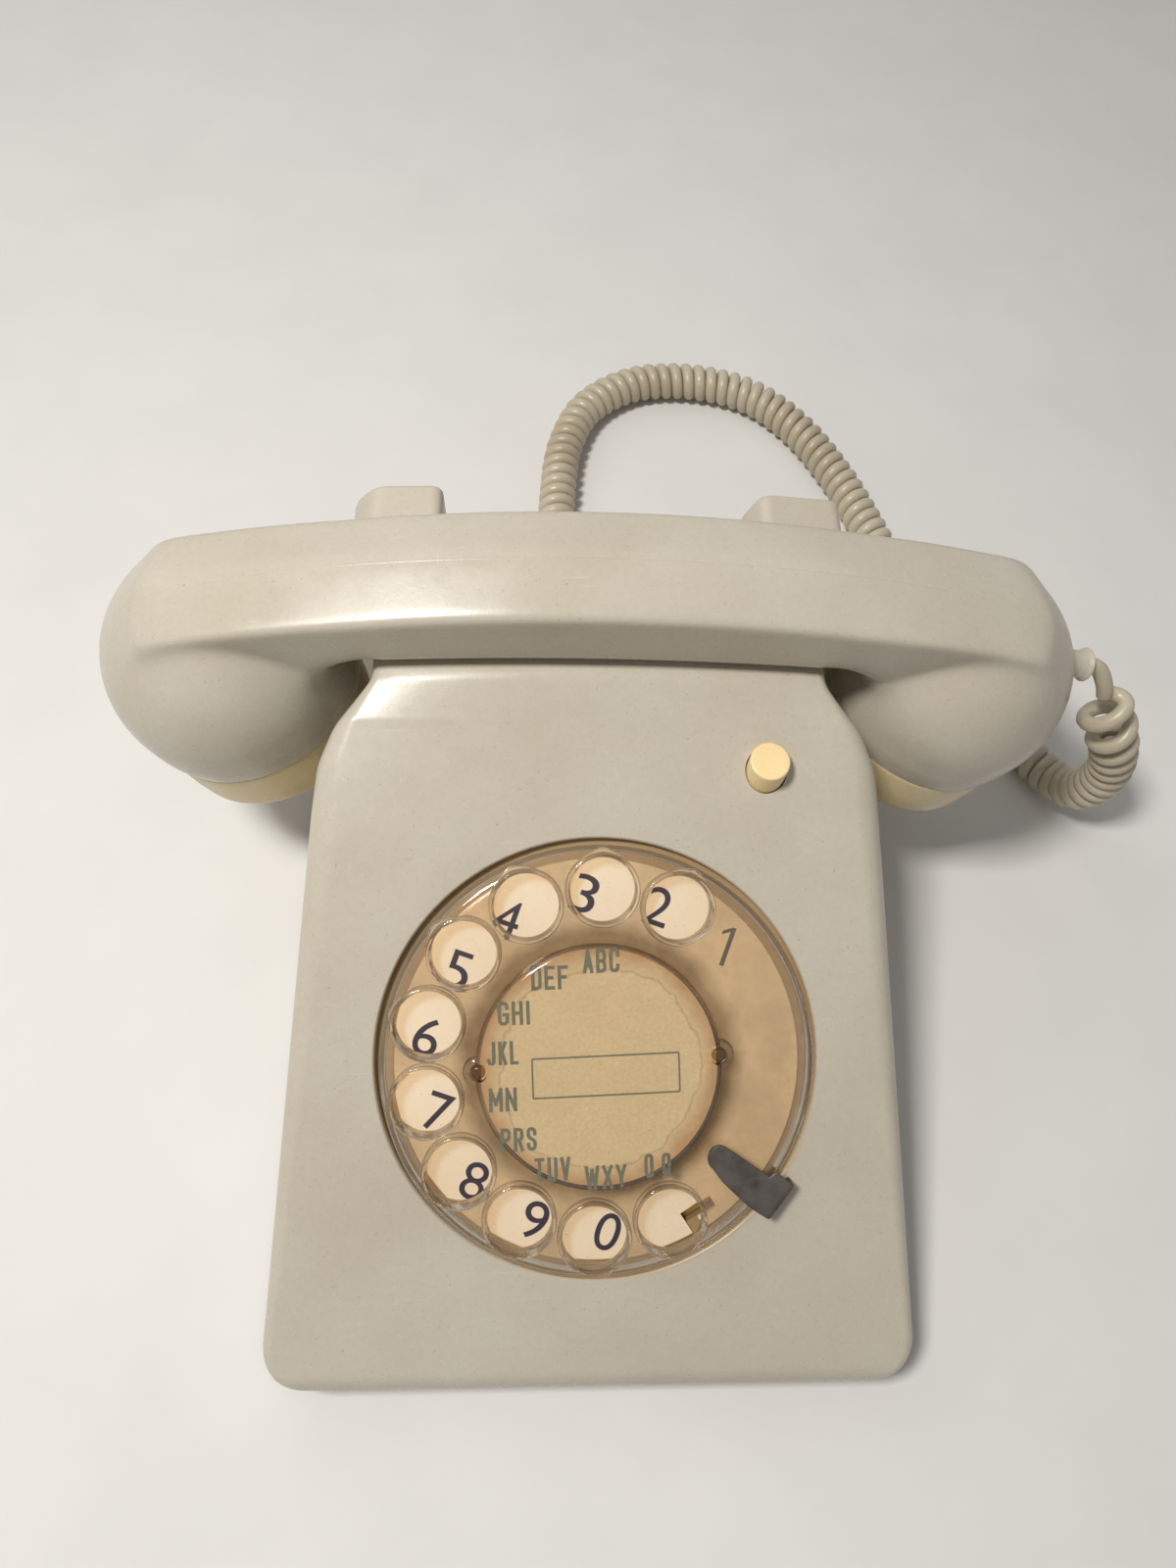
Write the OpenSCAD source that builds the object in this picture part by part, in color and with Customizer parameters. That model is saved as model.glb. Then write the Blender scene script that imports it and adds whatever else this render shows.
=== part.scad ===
// Rotary desk telephone: sloping moulded housing, clear finger wheel, handset lying across the top.
// X runs along the handset, Y from the front to the back, Z up from the table. Sizes are in millimetres.

/* [Housing] */
// Width of the housing at its base
base_w = 159; // [154:1:168]
// Depth of the housing from front wall to rear wall
base_d = 200; // [194:1:212]
// Wall thickness of the moulded housing
wall = 2.4; // [1.8:0.1:3]
// Height of the lower edge of the sloping face
lip_h = 19; // [17:0.5:22]
// Slope of the face from the horizontal
face_slope = 26; // [24:0.5:27]
// Depth of the deck, from the crease behind the face to the rear wall
deck_depth = 62.5; // [60:0.5:66]
// Lean of the side walls from the vertical
side_lean = 9.6; // [8:0.2:10]
// Radius of the front corners seen from above
front_corner_r = 10; // [7:0.5:14]
// Radius of the rear corners seen from above
rear_corner_r = 12; // [8:0.5:16]
// Height that the crowned deck rises above the crease
deck_rise = 5.7; // [5:0.1:7]
// Run of the strip between the crease and the deck
strip_run = 10; // [9:0.5:11]
// Distance from the middle of a cup to the side of the deck
cradle_gap = 37.5; // [36.5:0.5:40]
// Height of the side shelves below the handset's cups
shelf_h = 25; // [20:1:27]
// Height of the cradle ears above the deck
ear_h = 11.5; // [9:0.5:14]
// Width of a cradle ear
ear_w = 21; // [16:0.5:22]

/* [Dial] */
// Distance of the dial's centre from the lower edge of the face, along the face
dial_along = 73.6; // [72:0.2:75]
// Diameter of the clear finger wheel
wheel_d = 99; // [96:0.5:100]
// Thickness of the wheel's flat annulus
wheel_t = 2.2; // [1.8:0.1:2.6]
// Height of the wheel's upper side above the face
wheel_rise = 4.8; // [4.4:0.1:5.4]
// Radius of the circle that carries the finger holes
hole_ring_r = 39.5; // [39:0.1:39.9]
// Clear diameter of a finger hole
finger_d = 14.7; // [13.5:0.1:15]
// Wall of the collar round a finger hole
collar_wall = 1.25; // [0.9:0.05:1.4]
// Number of finger holes
finger_count = 10; // [8:1:10]
// Number of equal steps that a full turn of the dial holds
dial_steps = 14; // [13:1:15]
// Angle of the first finger hole from the horizontal
first_hole_a = 63.7; // [60:0.1:66]
// Radius of the window over the label card
window_r = 28; // [26:0.2:28.4]
// Diameter of the number plate
plate_d = 91; // [89:0.5:93]
// Radial gap between the wheel's rim and the housing's opening
rim_gap = 1.3; // [0.8:0.1:1.8]
// Angle of the finger stop
stop_a = -36; // [-40:0.5:-32]

/* [Dial movement] */
// Tooth size (pitch diameter over tooth count) of the main gear
main_module = 0.7; // [0.68:0.01:0.72]
// Teeth on the main gear
main_teeth = 84; // [84:28:84]
// Teeth on the idler pinion
pinion_teeth = 12; // [12:2:12]
// Tooth size of the governor train
fine_module = 0.5; // [0.48:0.01:0.52]
// Teeth on the idler's second gear
second_teeth = 36; // [36:9:36]
// Teeth on the governor pinion
governor_teeth = 9; // [9:1:9]
// Radius of the main shaft
main_shaft_r = 3; // [2.5:0.1:3.5]
// Radius of the idler shaft and the governor shaft
small_shaft_r = 1; // [0.8:0.1:1.2]
// Radial clearance of a running shaft
running_gap = 0.05; // [0.03:0.01:0.08]

/* [Handset] */
// Length of the handset over both cups
handset_l = 240; // [236:1:242]
// Width of the handle
handle_w = 29.4; // [28:0.2:30.5]
// Thickness of the handle in the middle
handle_t = 23.3; // [22:0.1:25]
// Radius of the arched upper side, seen from the front
crown_r = 340; // [320:5:380]
// Radius of the arched underside, seen from the front
under_r = 600; // [540:10:700]
// Radius of a cup at its widest
cup_r = 30; // [28.5:0.5:31]
// Drop from the top of the crown to the middle of a cup
cup_drop = 45.9; // [44.5:0.1:46.5]
// Tilt of the cups towards each other
cup_tilt = 15.5; // [14:0.5:16.5]
// Tilt of the cups towards the front
cup_pitch = 8; // [6:0.5:9]
// Distance from the middle of a cup to the seam of its cap
seam_drop = 14; // [13:0.5:15]
// Radius of a cup at the seam
seam_r = 27.6; // [27:0.1:28]
// Height of a screwed cap below the seam
cap_h = 14.5; // [13.5:0.5:15]
// Gap between the handset and the deck that it rests on
seat_gap = 0.3; // [0.3:0.05:0.5]
// Height that the handset lifts
lift = 120; // [100:5:150]

/* [Push button] */
// Diameter of the push button
button_d = 9.2; // [8:0.2:10]
// Height of the button above the face
button_rise = 6.5; // [5:0.5:8]
// Travel of the button
button_travel = 3; // [2:0.5:3.5]
// Place of the button across the housing
button_x = 37.6; // [36:0.2:40]
// Distance of the button in front of the crease
button_back = 10.3; // [9:0.1:14]

/* [Base] */
// Thickness of the base plate
plate_t = 2; // [1.5:0.1:2.5]
// Height of the base plate's underside above the table
plate_z = 3; // [2.6:0.1:4]
// Diameter of a rubber foot
foot_d = 14; // [12:0.5:16]
// Diameter of a housing screw
screw_d = 4; // [3.5:0.1:4]

/* [Ringer] */
// How much narrower a bell is than the half width of the deck
bell_room = 2.5; // [2.5:0.5:8]
// Height of a bell
bell_h = 13; // [11:0.5:15]
// Wall thickness of a bell
bell_t = 1.4; // [1.2:0.1:2]
// Height of the bells' rims above the table
bell_z = 24; // [22:0.5:28]

/* [Cord] */
// Outer diameter of the coiled cord
coil_d = 13.3; // [13.3:0.1:13.3]
// Diameter of the cord itself
cord_d = 4.2; // [4.2:0.1:4.2]

/* [Hidden] */

$fn = 64;
eps = 0.01;

shell_colour = "#c9c3ae";
dark_colour = "#3b3a38";
steel_colour = "#9aa0a4";
brass_colour = "#b69a5b";
cream_colour = "#e6d3ae";
clear_colour = "#d8cfb4";

// --- Derived heights and places -------------------------------------------------------------------

front_y = -base_d / 2;
rear_y = base_d / 2;
face_inset = 2;
face_y0 = front_y + face_inset;
function face_z(y) = lip_h + (y - face_y0) * tan(face_slope);
crease_y = rear_y - deck_depth;
crease_z = face_z(crease_y);
deck_y = crease_y + strip_run;
deck_z = crease_z + deck_rise;
dial_y = face_y0 + dial_along * cos(face_slope);
dial_z = lip_h + dial_along * sin(face_slope);

handle_gap = 0.8;
handset_y = deck_y + handle_gap + handle_w / 2;
handle_low = deck_z + seat_gap;
crown_z = handle_low + handle_t;
cup_x = handset_l / 2 - cup_r;
deck_half_w = cup_x - cradle_gap;
button_y = crease_y - button_back;
bell_d = deck_half_w - bell_room;
cup_z = crown_z - cup_drop;

ear_y0 = handset_y + handle_w / 2 + handle_gap;
ear_y1 = ear_y0 + 11;
ear_x0 = deck_half_w - 14.8;
rear_deck_drop = 5.5;
inner_floor = plate_z + plate_t;

module at_dial() {
    translate([0, dial_y, dial_z]) rotate([face_slope, 0, 0]) children();
}

// --- Housing skin: one section in the XZ plane for each station along Y ---------------------------

// Plan rounding at the ends: how far the side steps in at a distance d from the end wall
function corner_step(r, d) = d >= r ? 0 : r - sqrt(r * r - (r - d) * (r - d));

// Height of the skin above the table on the centre line, at depth y
lip_r = 3;
rear_edge_r = 7;
rear_slope = atan(rear_deck_drop / (rear_y - rear_edge_r - ear_y0));
function top_line(y) =
    y <= crease_y ? face_z(y) - corner_step(lip_r, y - front_y)
    : y <= deck_y ? crease_z + (y - crease_y) / strip_run * deck_rise
    : y <= ear_y0 ? deck_z
    : deck_z - rear_deck_drop * (y - ear_y0) / (rear_y - rear_edge_r - ear_y0 + eps)
      * (y < rear_y - rear_edge_r ? 1 : (rear_y - rear_edge_r - ear_y0) / (y - ear_y0))
      - corner_step(rear_edge_r, rear_y - y);

// How far the crowned deck falls at x, fading in between the crease and the deck
function crown_fall(x, y) =
    x * x / (2 * under_r) * min(1, max(0.02, (y - crease_y) / strip_run));

shoulder_y = crease_y - 15.5;
block_y = deck_y + 30;
block_extra = 4;

// Half width of the top of the skin: the face, the chamfered shoulders, then the block under the handset
function top_half(y, w) =
    let (face_half = w - tan(side_lean) * top_line(y))
    y <= shoulder_y ? face_half
    : min(face_half, lookup(y, [[shoulder_y, w - tan(side_lean) * top_line(shoulder_y)],
        [shoulder_y + 8, w - tan(side_lean) * top_line(shoulder_y + 8) - 0.6], [crease_y, deck_half_w + 9],
        [deck_y, deck_half_w], [handset_y, deck_half_w + 0.5], [block_y, deck_half_w + block_extra],
        [rear_y, deck_half_w + block_extra]]));

// Rounding between the face and the side walls, growing towards the top of the face
function edge_r(y) = lookup(y, [[front_y, 2], [front_y + 12, 2.8], [shoulder_y, 7.5],
    [crease_y, 6], [deck_y, 3], [rear_y, 4]]);

// One half section from the bottom edge to the top centre. t is the inset of the inner skin.
function half_section(y, t, z_low, step) =
    let (w = base_w / 2 - t - step, lean = tan(side_lean), zt = top_line(y) - 1.1 * t,
        tw = top_half(y, base_w / 2 - t) - step - (y > shoulder_y ? t * min(1, (y - shoulder_y) / 8) : 0),
        r = max(0.8, edge_r(y) - t), f = min(1, max(0, (y - shoulder_y) / 7)),
        shelf = shelf_h - t, sr = max(1, 5 - t), blk = tw + 0.03 * (zt - shelf),
        z_side = zt - crown_fall(tw, y) - r,
        wall_pts = [for (k = [0.2, 0.35, 0.5, 0.65, 0.8])
            [w - lean * (z_low + k * (z_side - z_low)), z_low + k * (z_side - z_low)]],
        shelf_pts = [[w - lean * (shelf - sr), shelf - sr],
            [w - lean * shelf - 0.3 * sr, shelf - 0.3 * sr], [w - lean * shelf - sr, shelf],
            [blk + 3, shelf + 3], [blk, shelf + 6.5]])
    concat([[w, z_low]],
        [for (i = [0:4]) (1 - f) * wall_pts[i] + f * shelf_pts[i]],
        [for (a = [0:22.5:90]) [tw - r * (1 - cos(a)), z_side + r * sin(a)]],
        [for (k = [0.75, 0.5, 0.25, 0]) [k * (tw - r), zt - crown_fall(k * (tw - r), y)]]);

// Stations along Y for a skin inset by t, close together where the corners turn
function stations(t) = concat(
    [for (d = [0, 0.5, 1.5, 3.5, 6.5]) front_y + t + d * (front_corner_r - t) / front_corner_r],
    [front_y + front_corner_r, dial_y - 20, dial_y + 10, shoulder_y, shoulder_y + 7,
        (shoulder_y + 7 + crease_y) / 2, crease_y, deck_y - 2, deck_y + 1, handset_y - 4, handset_y + 8,
        ear_y0, rear_y - rear_corner_r],
    [for (d = [7, 4, 2, 0.8, 0]) rear_y - t - d * (rear_corner_r - t) / rear_corner_r]);

function plan_step(y, t) = corner_step(front_corner_r - t, y - front_y - t)
    + corner_step(rear_corner_r - t, rear_y - t - y);

// Faces of an end of the skin whose ring has n points from index base: strips between mirrored points
function end_strips(n, base) = let (half = (n - 1) / 2)
    [for (i = [0:half - 1]) each concat([[base + i, base + i + 1, base + n - 1 - i]],
        i + 1 < half ? [[base + i + 1, base + n - 2 - i, base + n - 1 - i]] : [])];

// Closed solid inside the skin: rings of points joined by quads, with flat strips at each end
module skin(t, z_low) {
    ys = stations(t);
    rings = [for (y = ys) let (h = half_section(y, t, z_low, plan_step(y, t)), n = len(h))
        concat([for (p = h) [p[0], y, p[1]]], [for (i = [n - 2:-1:0]) [-h[i][0], y, h[i][1]]])];
    n = len(rings[0]);
    m = len(rings);
    polyhedron(points = [for (r = rings) each r],
        faces = concat([for (f = end_strips(n, 0)) [f[2], f[1], f[0]]],
            [for (k = [0:m - 2], i = [0:n - 1]) let (a = k * n + i, b = k * n + (i + 1) % n)
                each [[a, b, a + n], [b, b + n, a + n]]],
            end_strips(n, (m - 1) * n)), convexity = 8);
}

boss_r = 4;
boss_places = [[-base_w / 2 + 18, front_y + 24], [base_w / 2 - 18, front_y + 24],
    [-deck_half_w + 8, rear_y - 14], [deck_half_w - 8, rear_y - 14]];
screw_len = 9;

plunger_r = 2.6;
plunger_x = deck_half_w - 9;
plunger_gap = 0.4;

opening_r = wheel_d / 2 + rim_gap;
stop_out_r = opening_r + 1.7;
stop_leg_w = 4.4;
gland_z = 13;
line_gland_z = 18;
gland_r = 5;
gland_bore_d = cord_d + 0.6;
handset_gland_x = -9;
line_gland_x = 26;

rim_z = 2.5;

// Boss under the sloping face or the deck, trimmed at the middle of the wall
module boss(p) {
    top = top_line(p[1]) - crown_fall(p[0], p[1]);
    difference() {
        translate([p[0], p[1], inner_floor + 0.3]) cylinder(h = top - inner_floor, r = boss_r);
        translate([p[0], p[1], top - wall * 0.55])
            rotate([p[1] < 0 ? face_slope : -rear_slope, 0, 0])
                translate([-10, -12, 0]) cube([20, 24, 20]);
        translate([p[0], p[1], inner_floor]) cylinder(h = screw_len + 2, d = screw_d);
    }
}

// Cradle ear: rounded outer corner, steep inner side
module ear() {
    r = 5;
    z0 = deck_z - 8;
    z1 = deck_z + ear_h;
    translate([0, ear_y1, 0]) rotate([90, 0, 0]) linear_extrude(ear_y1 - ear_y0)
        intersection() {
            union() {
                translate([ear_x0, z0]) square([ear_w, z1 - z0 - r]);
                translate([ear_x0, z0]) square([ear_w - r, z1 - z0]);
                translate([ear_x0 + ear_w - r, z1 - r]) circle(r);
            }
            polygon([[ear_x0 - 1, z0 - 1], [ear_x0 + 1.2, z1 - 1.5], [ear_x0 + 2.7, z1],
                [ear_x0 + ear_w + 1, z1], [ear_x0 + ear_w + 1, z0 - 1]]);
        }
}

module housing() {
    color(shell_colour) difference() {
        union() {
            difference() {
                skin(0, rim_z);
                skin(wall, rim_z - 2);
            }
            for (p = boss_places) boss(p);
            ear();
            mirror([1, 0, 0]) ear();
        }
        at_dial() translate([0, 0, -15]) cylinder(h = 30, r = opening_r);
        at_dial() rotate(stop_a) translate([opening_r - 2, -stop_leg_w / 2 - 0.3, -10])
            cube([stop_out_r + 0.3 - opening_r + 2, stop_leg_w + 0.6, 12]);
        translate([button_x, button_y, dial_z]) cylinder(h = 60, d = button_d + 1);
        for (s = [-1, 1]) translate([s * plunger_x, handset_y, dial_z + 20])
            cylinder(h = 60, r = plunger_r + plunger_gap);
        for (g = [[handset_gland_x, gland_z], [line_gland_x, line_gland_z]])
            translate([g[0], rear_y - 8, g[1]]) rotate([-90, 0, 0]) cylinder(h = 16, r = gland_r);
    }
}

// --- Base ----------------------------------------------------------------------------------------

plate_gap = 0.4;
plate_half_w = base_w / 2 - wall - plate_gap - 1.5;
plate_half_d = base_d / 2 - wall - plate_gap - 0.5;
foot_places = [for (x = [-1, 1], y = [front_y + 42, rear_y - 28]) [x * (base_w / 2 - 17), y]];

module rounded_rectangle(hx, hy, r) {
    square([2 * hx - 2 * r, 2 * hy], center = true);
    square([2 * hx, 2 * hy - 2 * r], center = true);
    for (x = [-1, 1], y = [-1, 1]) translate([x * (hx - r), y * (hy - r)]) circle(r);
}

module base_plate() {
    color(dark_colour) translate([0, 0, plate_z]) difference() {
        linear_extrude(plate_t) rounded_rectangle(plate_half_w, plate_half_d, rear_corner_r);
        for (p = boss_places) translate([p[0], p[1], -1]) cylinder(h = plate_t + 2, d = screw_d + 0.6);
        for (p = foot_places) translate([p[0], p[1], -1]) cylinder(h = plate_t + 2, d = foot_d / 2);
        for (i = [-3:3]) translate([i * 7 - 1.5, -30, -1]) cube([3, 26, plate_t + 2]);
    }
}

module rubber_feet() {
    color("#2b2a29") for (p = foot_places) translate([p[0], p[1], 0]) {
        rotate_extrude() polygon([[0, 0], [foot_d / 2 - 1.2, 0], [foot_d / 2 - 0.5, 0.6],
            [foot_d / 2, plate_z], [0, plate_z]]);
        cylinder(h = plate_z + plate_t, d = foot_d / 2);
        translate([0, 0, plate_z + plate_t]) cylinder(h = 1.2, d1 = foot_d / 2 + 1.5, d2 = foot_d / 2 - 1);
    }
}

module housing_screws() {
    head_h = 1.8;
    color(steel_colour) for (p = boss_places) translate([p[0], p[1], 0]) difference() {
        union() {
            translate([0, 0, plate_z - head_h]) cylinder(h = head_h, d = screw_d * 1.9);
            translate([0, 0, plate_z - eps]) cylinder(h = plate_t + screw_len, d = screw_d - 0.1);
        }
        translate([-screw_d, -0.4, plate_z - head_h - 1]) cube([2 * screw_d, 0.8, 1.8]);
    }
}

// Moulded gland in the rear wall: a flange inside, a body through the wall and a bore for the cord
module gland(x, z) {
    translate([x, rear_y - wall, z]) rotate([-90, 0, 0]) difference() {
        union() {
            translate([0, 0, -2]) cylinder(h = 2, r = gland_r + 1.5);
            translate([0, 0, -eps]) cylinder(h = wall + eps, r = gland_r - 0.1);
            children();
        }
        translate([0, 0, -3]) cylinder(h = 20, d = gland_bore_d);
    }
}

// The handset cord's gland has a stub outside that keeps the cord from kinking
module handset_cord_gland() {
    color(shell_colour) gland(handset_gland_x, gland_z) {
        translate([0, 0, wall - eps]) cylinder(h = 2, r = gland_r + 1);
        translate([0, 0, wall + 2 - 2 * eps]) cylinder(h = 4, r1 = gland_r, r2 = gland_r - 1.2);
    }
}

module line_cord_gland() {
    color(shell_colour) gland(line_gland_x, line_gland_z);
}

// --- Dial: heights w are measured from the face along its normal ----------------------------------

rim_r = wheel_d / 2;
case_depth = 22;
case_r = 46;
case_top = -wall - 0.3;
ledge_top = -1.9;
number_plate_t = 1;
hub_r = 7.5;
plate_top = ledge_top + 0.1 + number_plate_t;
wheel_low = wheel_rise - wheel_t;

module dial_case() {
    ledge_r = plate_d / 2 + 2;
    color(dark_colour) at_dial() difference() {
        union() {
            translate([0, 0, case_top - 1.5]) cylinder(h = 1.5, r = opening_r + 3.5);
            translate([0, 0, -case_depth]) cylinder(h = case_depth + ledge_top, r = ledge_r);
        }
        translate([0, 0, -case_depth + 1.5]) cylinder(h = case_depth + 2, r = case_r - 2);
        translate([0, 0, -case_depth - 1]) cylinder(h = 4, r = main_shaft_r + 2);
    }
}

module number_plate() {
    notch_a = first_hole_a + finger_count * 360 / dial_steps - 360 / dial_steps + 9;
    color(cream_colour) at_dial() translate([0, 0, ledge_top + 0.1]) difference() {
        cylinder(h = number_plate_t, d = plate_d);
        translate([0, 0, -1]) cylinder(h = 4, r = hub_r + 2.5);
        rotate(notch_a) translate([plate_d / 2 - 4.5, -4, -1]) cube([9, 3, 4]);
        rotate(notch_a) translate([plate_d / 2 - 4.5, -4, -1]) cube([3, 8, 4]);
    }
}

// Sheet-metal blade that reaches over the wheel and bends down past its rim
module finger_stop() {
    t = 0.8;
    z0 = wheel_rise + 1.2;
    out_r = stop_out_r;
    in_r = 33.6;
    color(dark_colour) at_dial() rotate(stop_a) {
        translate([0, 0, z0]) linear_extrude(t) union() {
            polygon([[in_r, -3.4], [in_r + 4, -4.6], [out_r - 6, -5.6], [out_r, -5.2], [out_r, 4.2],
                [out_r - 6, 4.6], [in_r + 12, 2.6], [in_r + 1, 2.4]]);
            translate([in_r + 0.9, -0.5]) circle(2.9);
        }
        translate([out_r - t, -4.4, 0.3]) cube([t, 8, z0 - 0.3 + eps]);
        translate([out_r - t, -stop_leg_w / 2, case_top]) cube([t, stop_leg_w, 1 - case_top]);
    }
}

module finger_holes(r, h) {
    for (i = [0:finger_count - 1]) rotate(first_hole_a + i * 360 / dial_steps)
        translate([hole_ring_r, 0, 0]) cylinder(h = h, r = r);
}

// Clear wheel: flat annulus, rim turned down, a deep collar round each finger hole, hub underneath
module finger_wheel() {
    collar_r = finger_d / 2 + collar_wall;
    rim_low = -0.3;
    color(clear_colour) at_dial() difference() {
        union() {
            rotate_extrude($fn = 96) polygon([[0, wheel_low], [rim_r - 3.6, wheel_low], [rim_r - 1.6, wheel_low - 1],
                [rim_r - 1.4, rim_low], [rim_r, rim_low], [rim_r, wheel_rise - 2], [rim_r - 0.8, wheel_rise - 0.7],
                [rim_r - 2.4, wheel_rise], [window_r + 0.2, wheel_rise], [window_r - 0.6, wheel_rise - 0.4],
                [0, wheel_rise - 0.4]]);
            translate([0, 0, plate_top + 1]) finger_holes(collar_r, wheel_rise + 0.4 - plate_top - 1);
            translate([0, 0, -2.6]) cylinder(h = wheel_low + 2.6 + eps, r = hub_r);
        }
        translate([0, 0, plate_top]) finger_holes(finger_d / 2, 10);
        translate([0, 0, -5]) cylinder(h = 20, r = main_shaft_r);
    }
}

card_t = 0.4;
cover_t = 1.4;
cover_rise = 3;

module label_card() {
    color("#dcc396") at_dial() translate([0, 0, wheel_rise + cover_rise - cover_t - card_t - 0.1])
        cylinder(h = card_t, r = window_r - 1.6);
}

// Clear cap over the card with two round lugs that carry its screws
module centre_cover() {
    lug_r = 3.6;
    top = wheel_rise + cover_rise;
    low = wheel_rise - 0.4;
    color(clear_colour) at_dial() difference() {
        union() {
            rotate_extrude() polygon([[0, low], [window_r - 0.7, low], [window_r - 0.2, wheel_rise],
                [window_r - 0.5, top - 0.9], [window_r - 1.4, top], [0, top + 0.5]]);
            for (s = [-1, 1]) rotate(s > 0 ? 6 : 182) translate([window_r - 1, 0, wheel_rise])
                cylinder(h = cover_rise - 0.8, r = lug_r);
        }
        translate([0, 0, low - 1])
            cylinder(h = top - cover_t - low + 1, r = window_r - 1.4);
        for (s = [-1, 1]) rotate(s > 0 ? 6 : 182) translate([window_r - 0.4, 0, top - 2.2])
            cylinder(h = 3, r = 1.3);
    }
}

// --- Dial movement: everything between two plates inside the case ---------------------------------

front_plate_w = -5.6;
back_plate_w = -19.2;
move_t = 1.4;
idler_c = main_module * (main_teeth + pinion_teeth) / 2;
governor_c = fine_module * (second_teeth + governor_teeth) / 2;
governor_dir = -15;
governor_x = governor_c * cos(governor_dir);
governor_y = idler_c + governor_c * sin(governor_dir);
main_gear_w = -9.2;
gear_t = 1.8;
second_gear_w = -13.4;

// Flat gear outline: each tooth is a short trapezoid with rounded-off flanks, thinned by the backlash
function tooth_points(n, m, k, backlash) =
    let (rp = n * m / 2, ro = rp + 0.95 * m, rr = rp - 1.2 * m, a = k * 360 / n,
        half = 90 / n - backlash / (2 * rp) * 57.3, tip = half * 0.42, root = half * 1.75)
    [for (q = [[rr, -root], [rp - 0.45 * m, -half * 1.28], [rp, -half], [ro, -tip],
        [ro, tip], [rp, half], [rp - 0.45 * m, half * 1.28], [rr, root]])
        [q[0] * cos(a + q[1]), q[0] * sin(a + q[1])]];

module gear(n, m, t, phase, backlash = 0.12) {
    rotate(phase) linear_extrude(t)
        polygon([for (k = [0:n - 1]) each tooth_points(n, m, k, backlash)]);
}

module movement_front_plate() {
    color(brass_colour) at_dial() translate([0, 0, front_plate_w]) difference() {
        union() {
            cylinder(h = move_t, r = case_r - 2.3);
            for (a = [20, 150, 210, 330]) rotate(a) translate([case_r - 8, 0, back_plate_w - front_plate_w + move_t])
                cylinder(h = front_plate_w - back_plate_w - move_t + eps, r = 1.8);
        }
        translate([0, 0, -1]) cylinder(h = 4, r = main_shaft_r + running_gap);
        translate([0, idler_c, -1]) cylinder(h = 4, r = small_shaft_r + running_gap);
        translate([governor_x, governor_y, -1]) cylinder(h = 4, r = small_shaft_r + running_gap);
    }
}

module movement_back_plate() {
    color(brass_colour) at_dial() translate([0, 0, back_plate_w]) difference() {
        cylinder(h = move_t, r = case_r - 3);
        for (a = [0, 270, 180]) rotate(a) translate([25, 0, -1]) cylinder(h = 4, r = 9);
        translate([0, 0, -1]) cylinder(h = 4, r = main_shaft_r + running_gap);
        translate([0, idler_c, -1]) cylinder(h = 4, r = small_shaft_r + running_gap);
        translate([governor_x, governor_y, -1]) cylinder(h = 4, r = small_shaft_r + running_gap);
    }
}

module main_shaft() {
    top = wheel_rise - 0.5;
    color(steel_colour) at_dial() {
        translate([0, 0, back_plate_w - 1]) cylinder(h = top - back_plate_w + 1, r = main_shaft_r);
        translate([0, 0, -2.6 - 1]) cylinder(h = 1, r = hub_r - 2);
    }
}

module main_gear() {
    color(brass_colour) at_dial() translate([0, 0, main_gear_w]) difference() {
        union() {
            gear(main_teeth, main_module, gear_t, 0);
            translate([0, 0, -2]) cylinder(h = 2 + eps, r = 6);
        }
        translate([0, 0, -3]) cylinder(h = 8, r = main_shaft_r);
        for (a = [0:72:359]) rotate(a + 18) translate([17, 0, -1]) cylinder(h = 4, r = 6.5);
    }
}

// Flat spiral spring: a strip wound round the shaft, hooked on a post of the back plate
module mainspring() {
    turns = 4;
    pitch = 2.1;
    strip = 0.5;
    r0 = main_shaft_r + 1;
    step = 15;
    color(steel_colour) at_dial() translate([0, 0, back_plate_w + move_t + 0.3]) {
        linear_extrude(3.2) polygon(concat(
            [for (a = [0:step:turns * 360]) (r0 + pitch * a / 360) * [cos(a), sin(a)]],
            [for (a = [turns * 360:-step:0]) (r0 + strip + pitch * a / 360) * [cos(a), sin(a)]]));
        translate([r0 + pitch * turns + strip + 0.8, 0, -0.3]) cylinder(h = 4, r = 1);
    }
}

module idler_shaft() {
    color(steel_colour) at_dial() translate([0, idler_c, 0]) {
        translate([0, 0, back_plate_w]) cylinder(h = front_plate_w + move_t - back_plate_w, r = small_shaft_r);
        translate([0, 0, main_gear_w - 0.4])
            gear(pinion_teeth, main_module, gear_t + 0.8, 180 / pinion_teeth);
    }
}

// Two-lobed cam: half a turn breaks the line once
module pulse_cam() {
    color("#5a3a28") at_dial() translate([0, idler_c, -16.6]) difference() {
        union() {
            cylinder(h = 1.6, r = 3.2);
            translate([-4.6, -1.4, 0]) cube([9.2, 2.8, 1.6]);
        }
        translate([0, 0, -1]) cylinder(h = 4, r = small_shaft_r);
    }
}

module second_gear() {
    color(brass_colour) at_dial() translate([0, idler_c, second_gear_w]) difference() {
        gear(second_teeth, fine_module, 1.4, 0);
        translate([0, 0, -1]) cylinder(h = 4, r = small_shaft_r);
        for (a = [0:90:359]) rotate(a + 45) translate([4.6, 0, -1]) cylinder(h = 4, r = 1.8);
    }
}

module governor_shaft() {
    color(steel_colour) at_dial() translate([governor_x, governor_y, 0]) {
        translate([0, 0, back_plate_w]) cylinder(h = front_plate_w + move_t - back_plate_w, r = small_shaft_r);
        translate([0, 0, second_gear_w - 0.4])
            gear(governor_teeth, fine_module, 2.2, 180 + governor_dir - floor((180 + governor_dir) / 40) * 40);
    }
}

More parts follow.
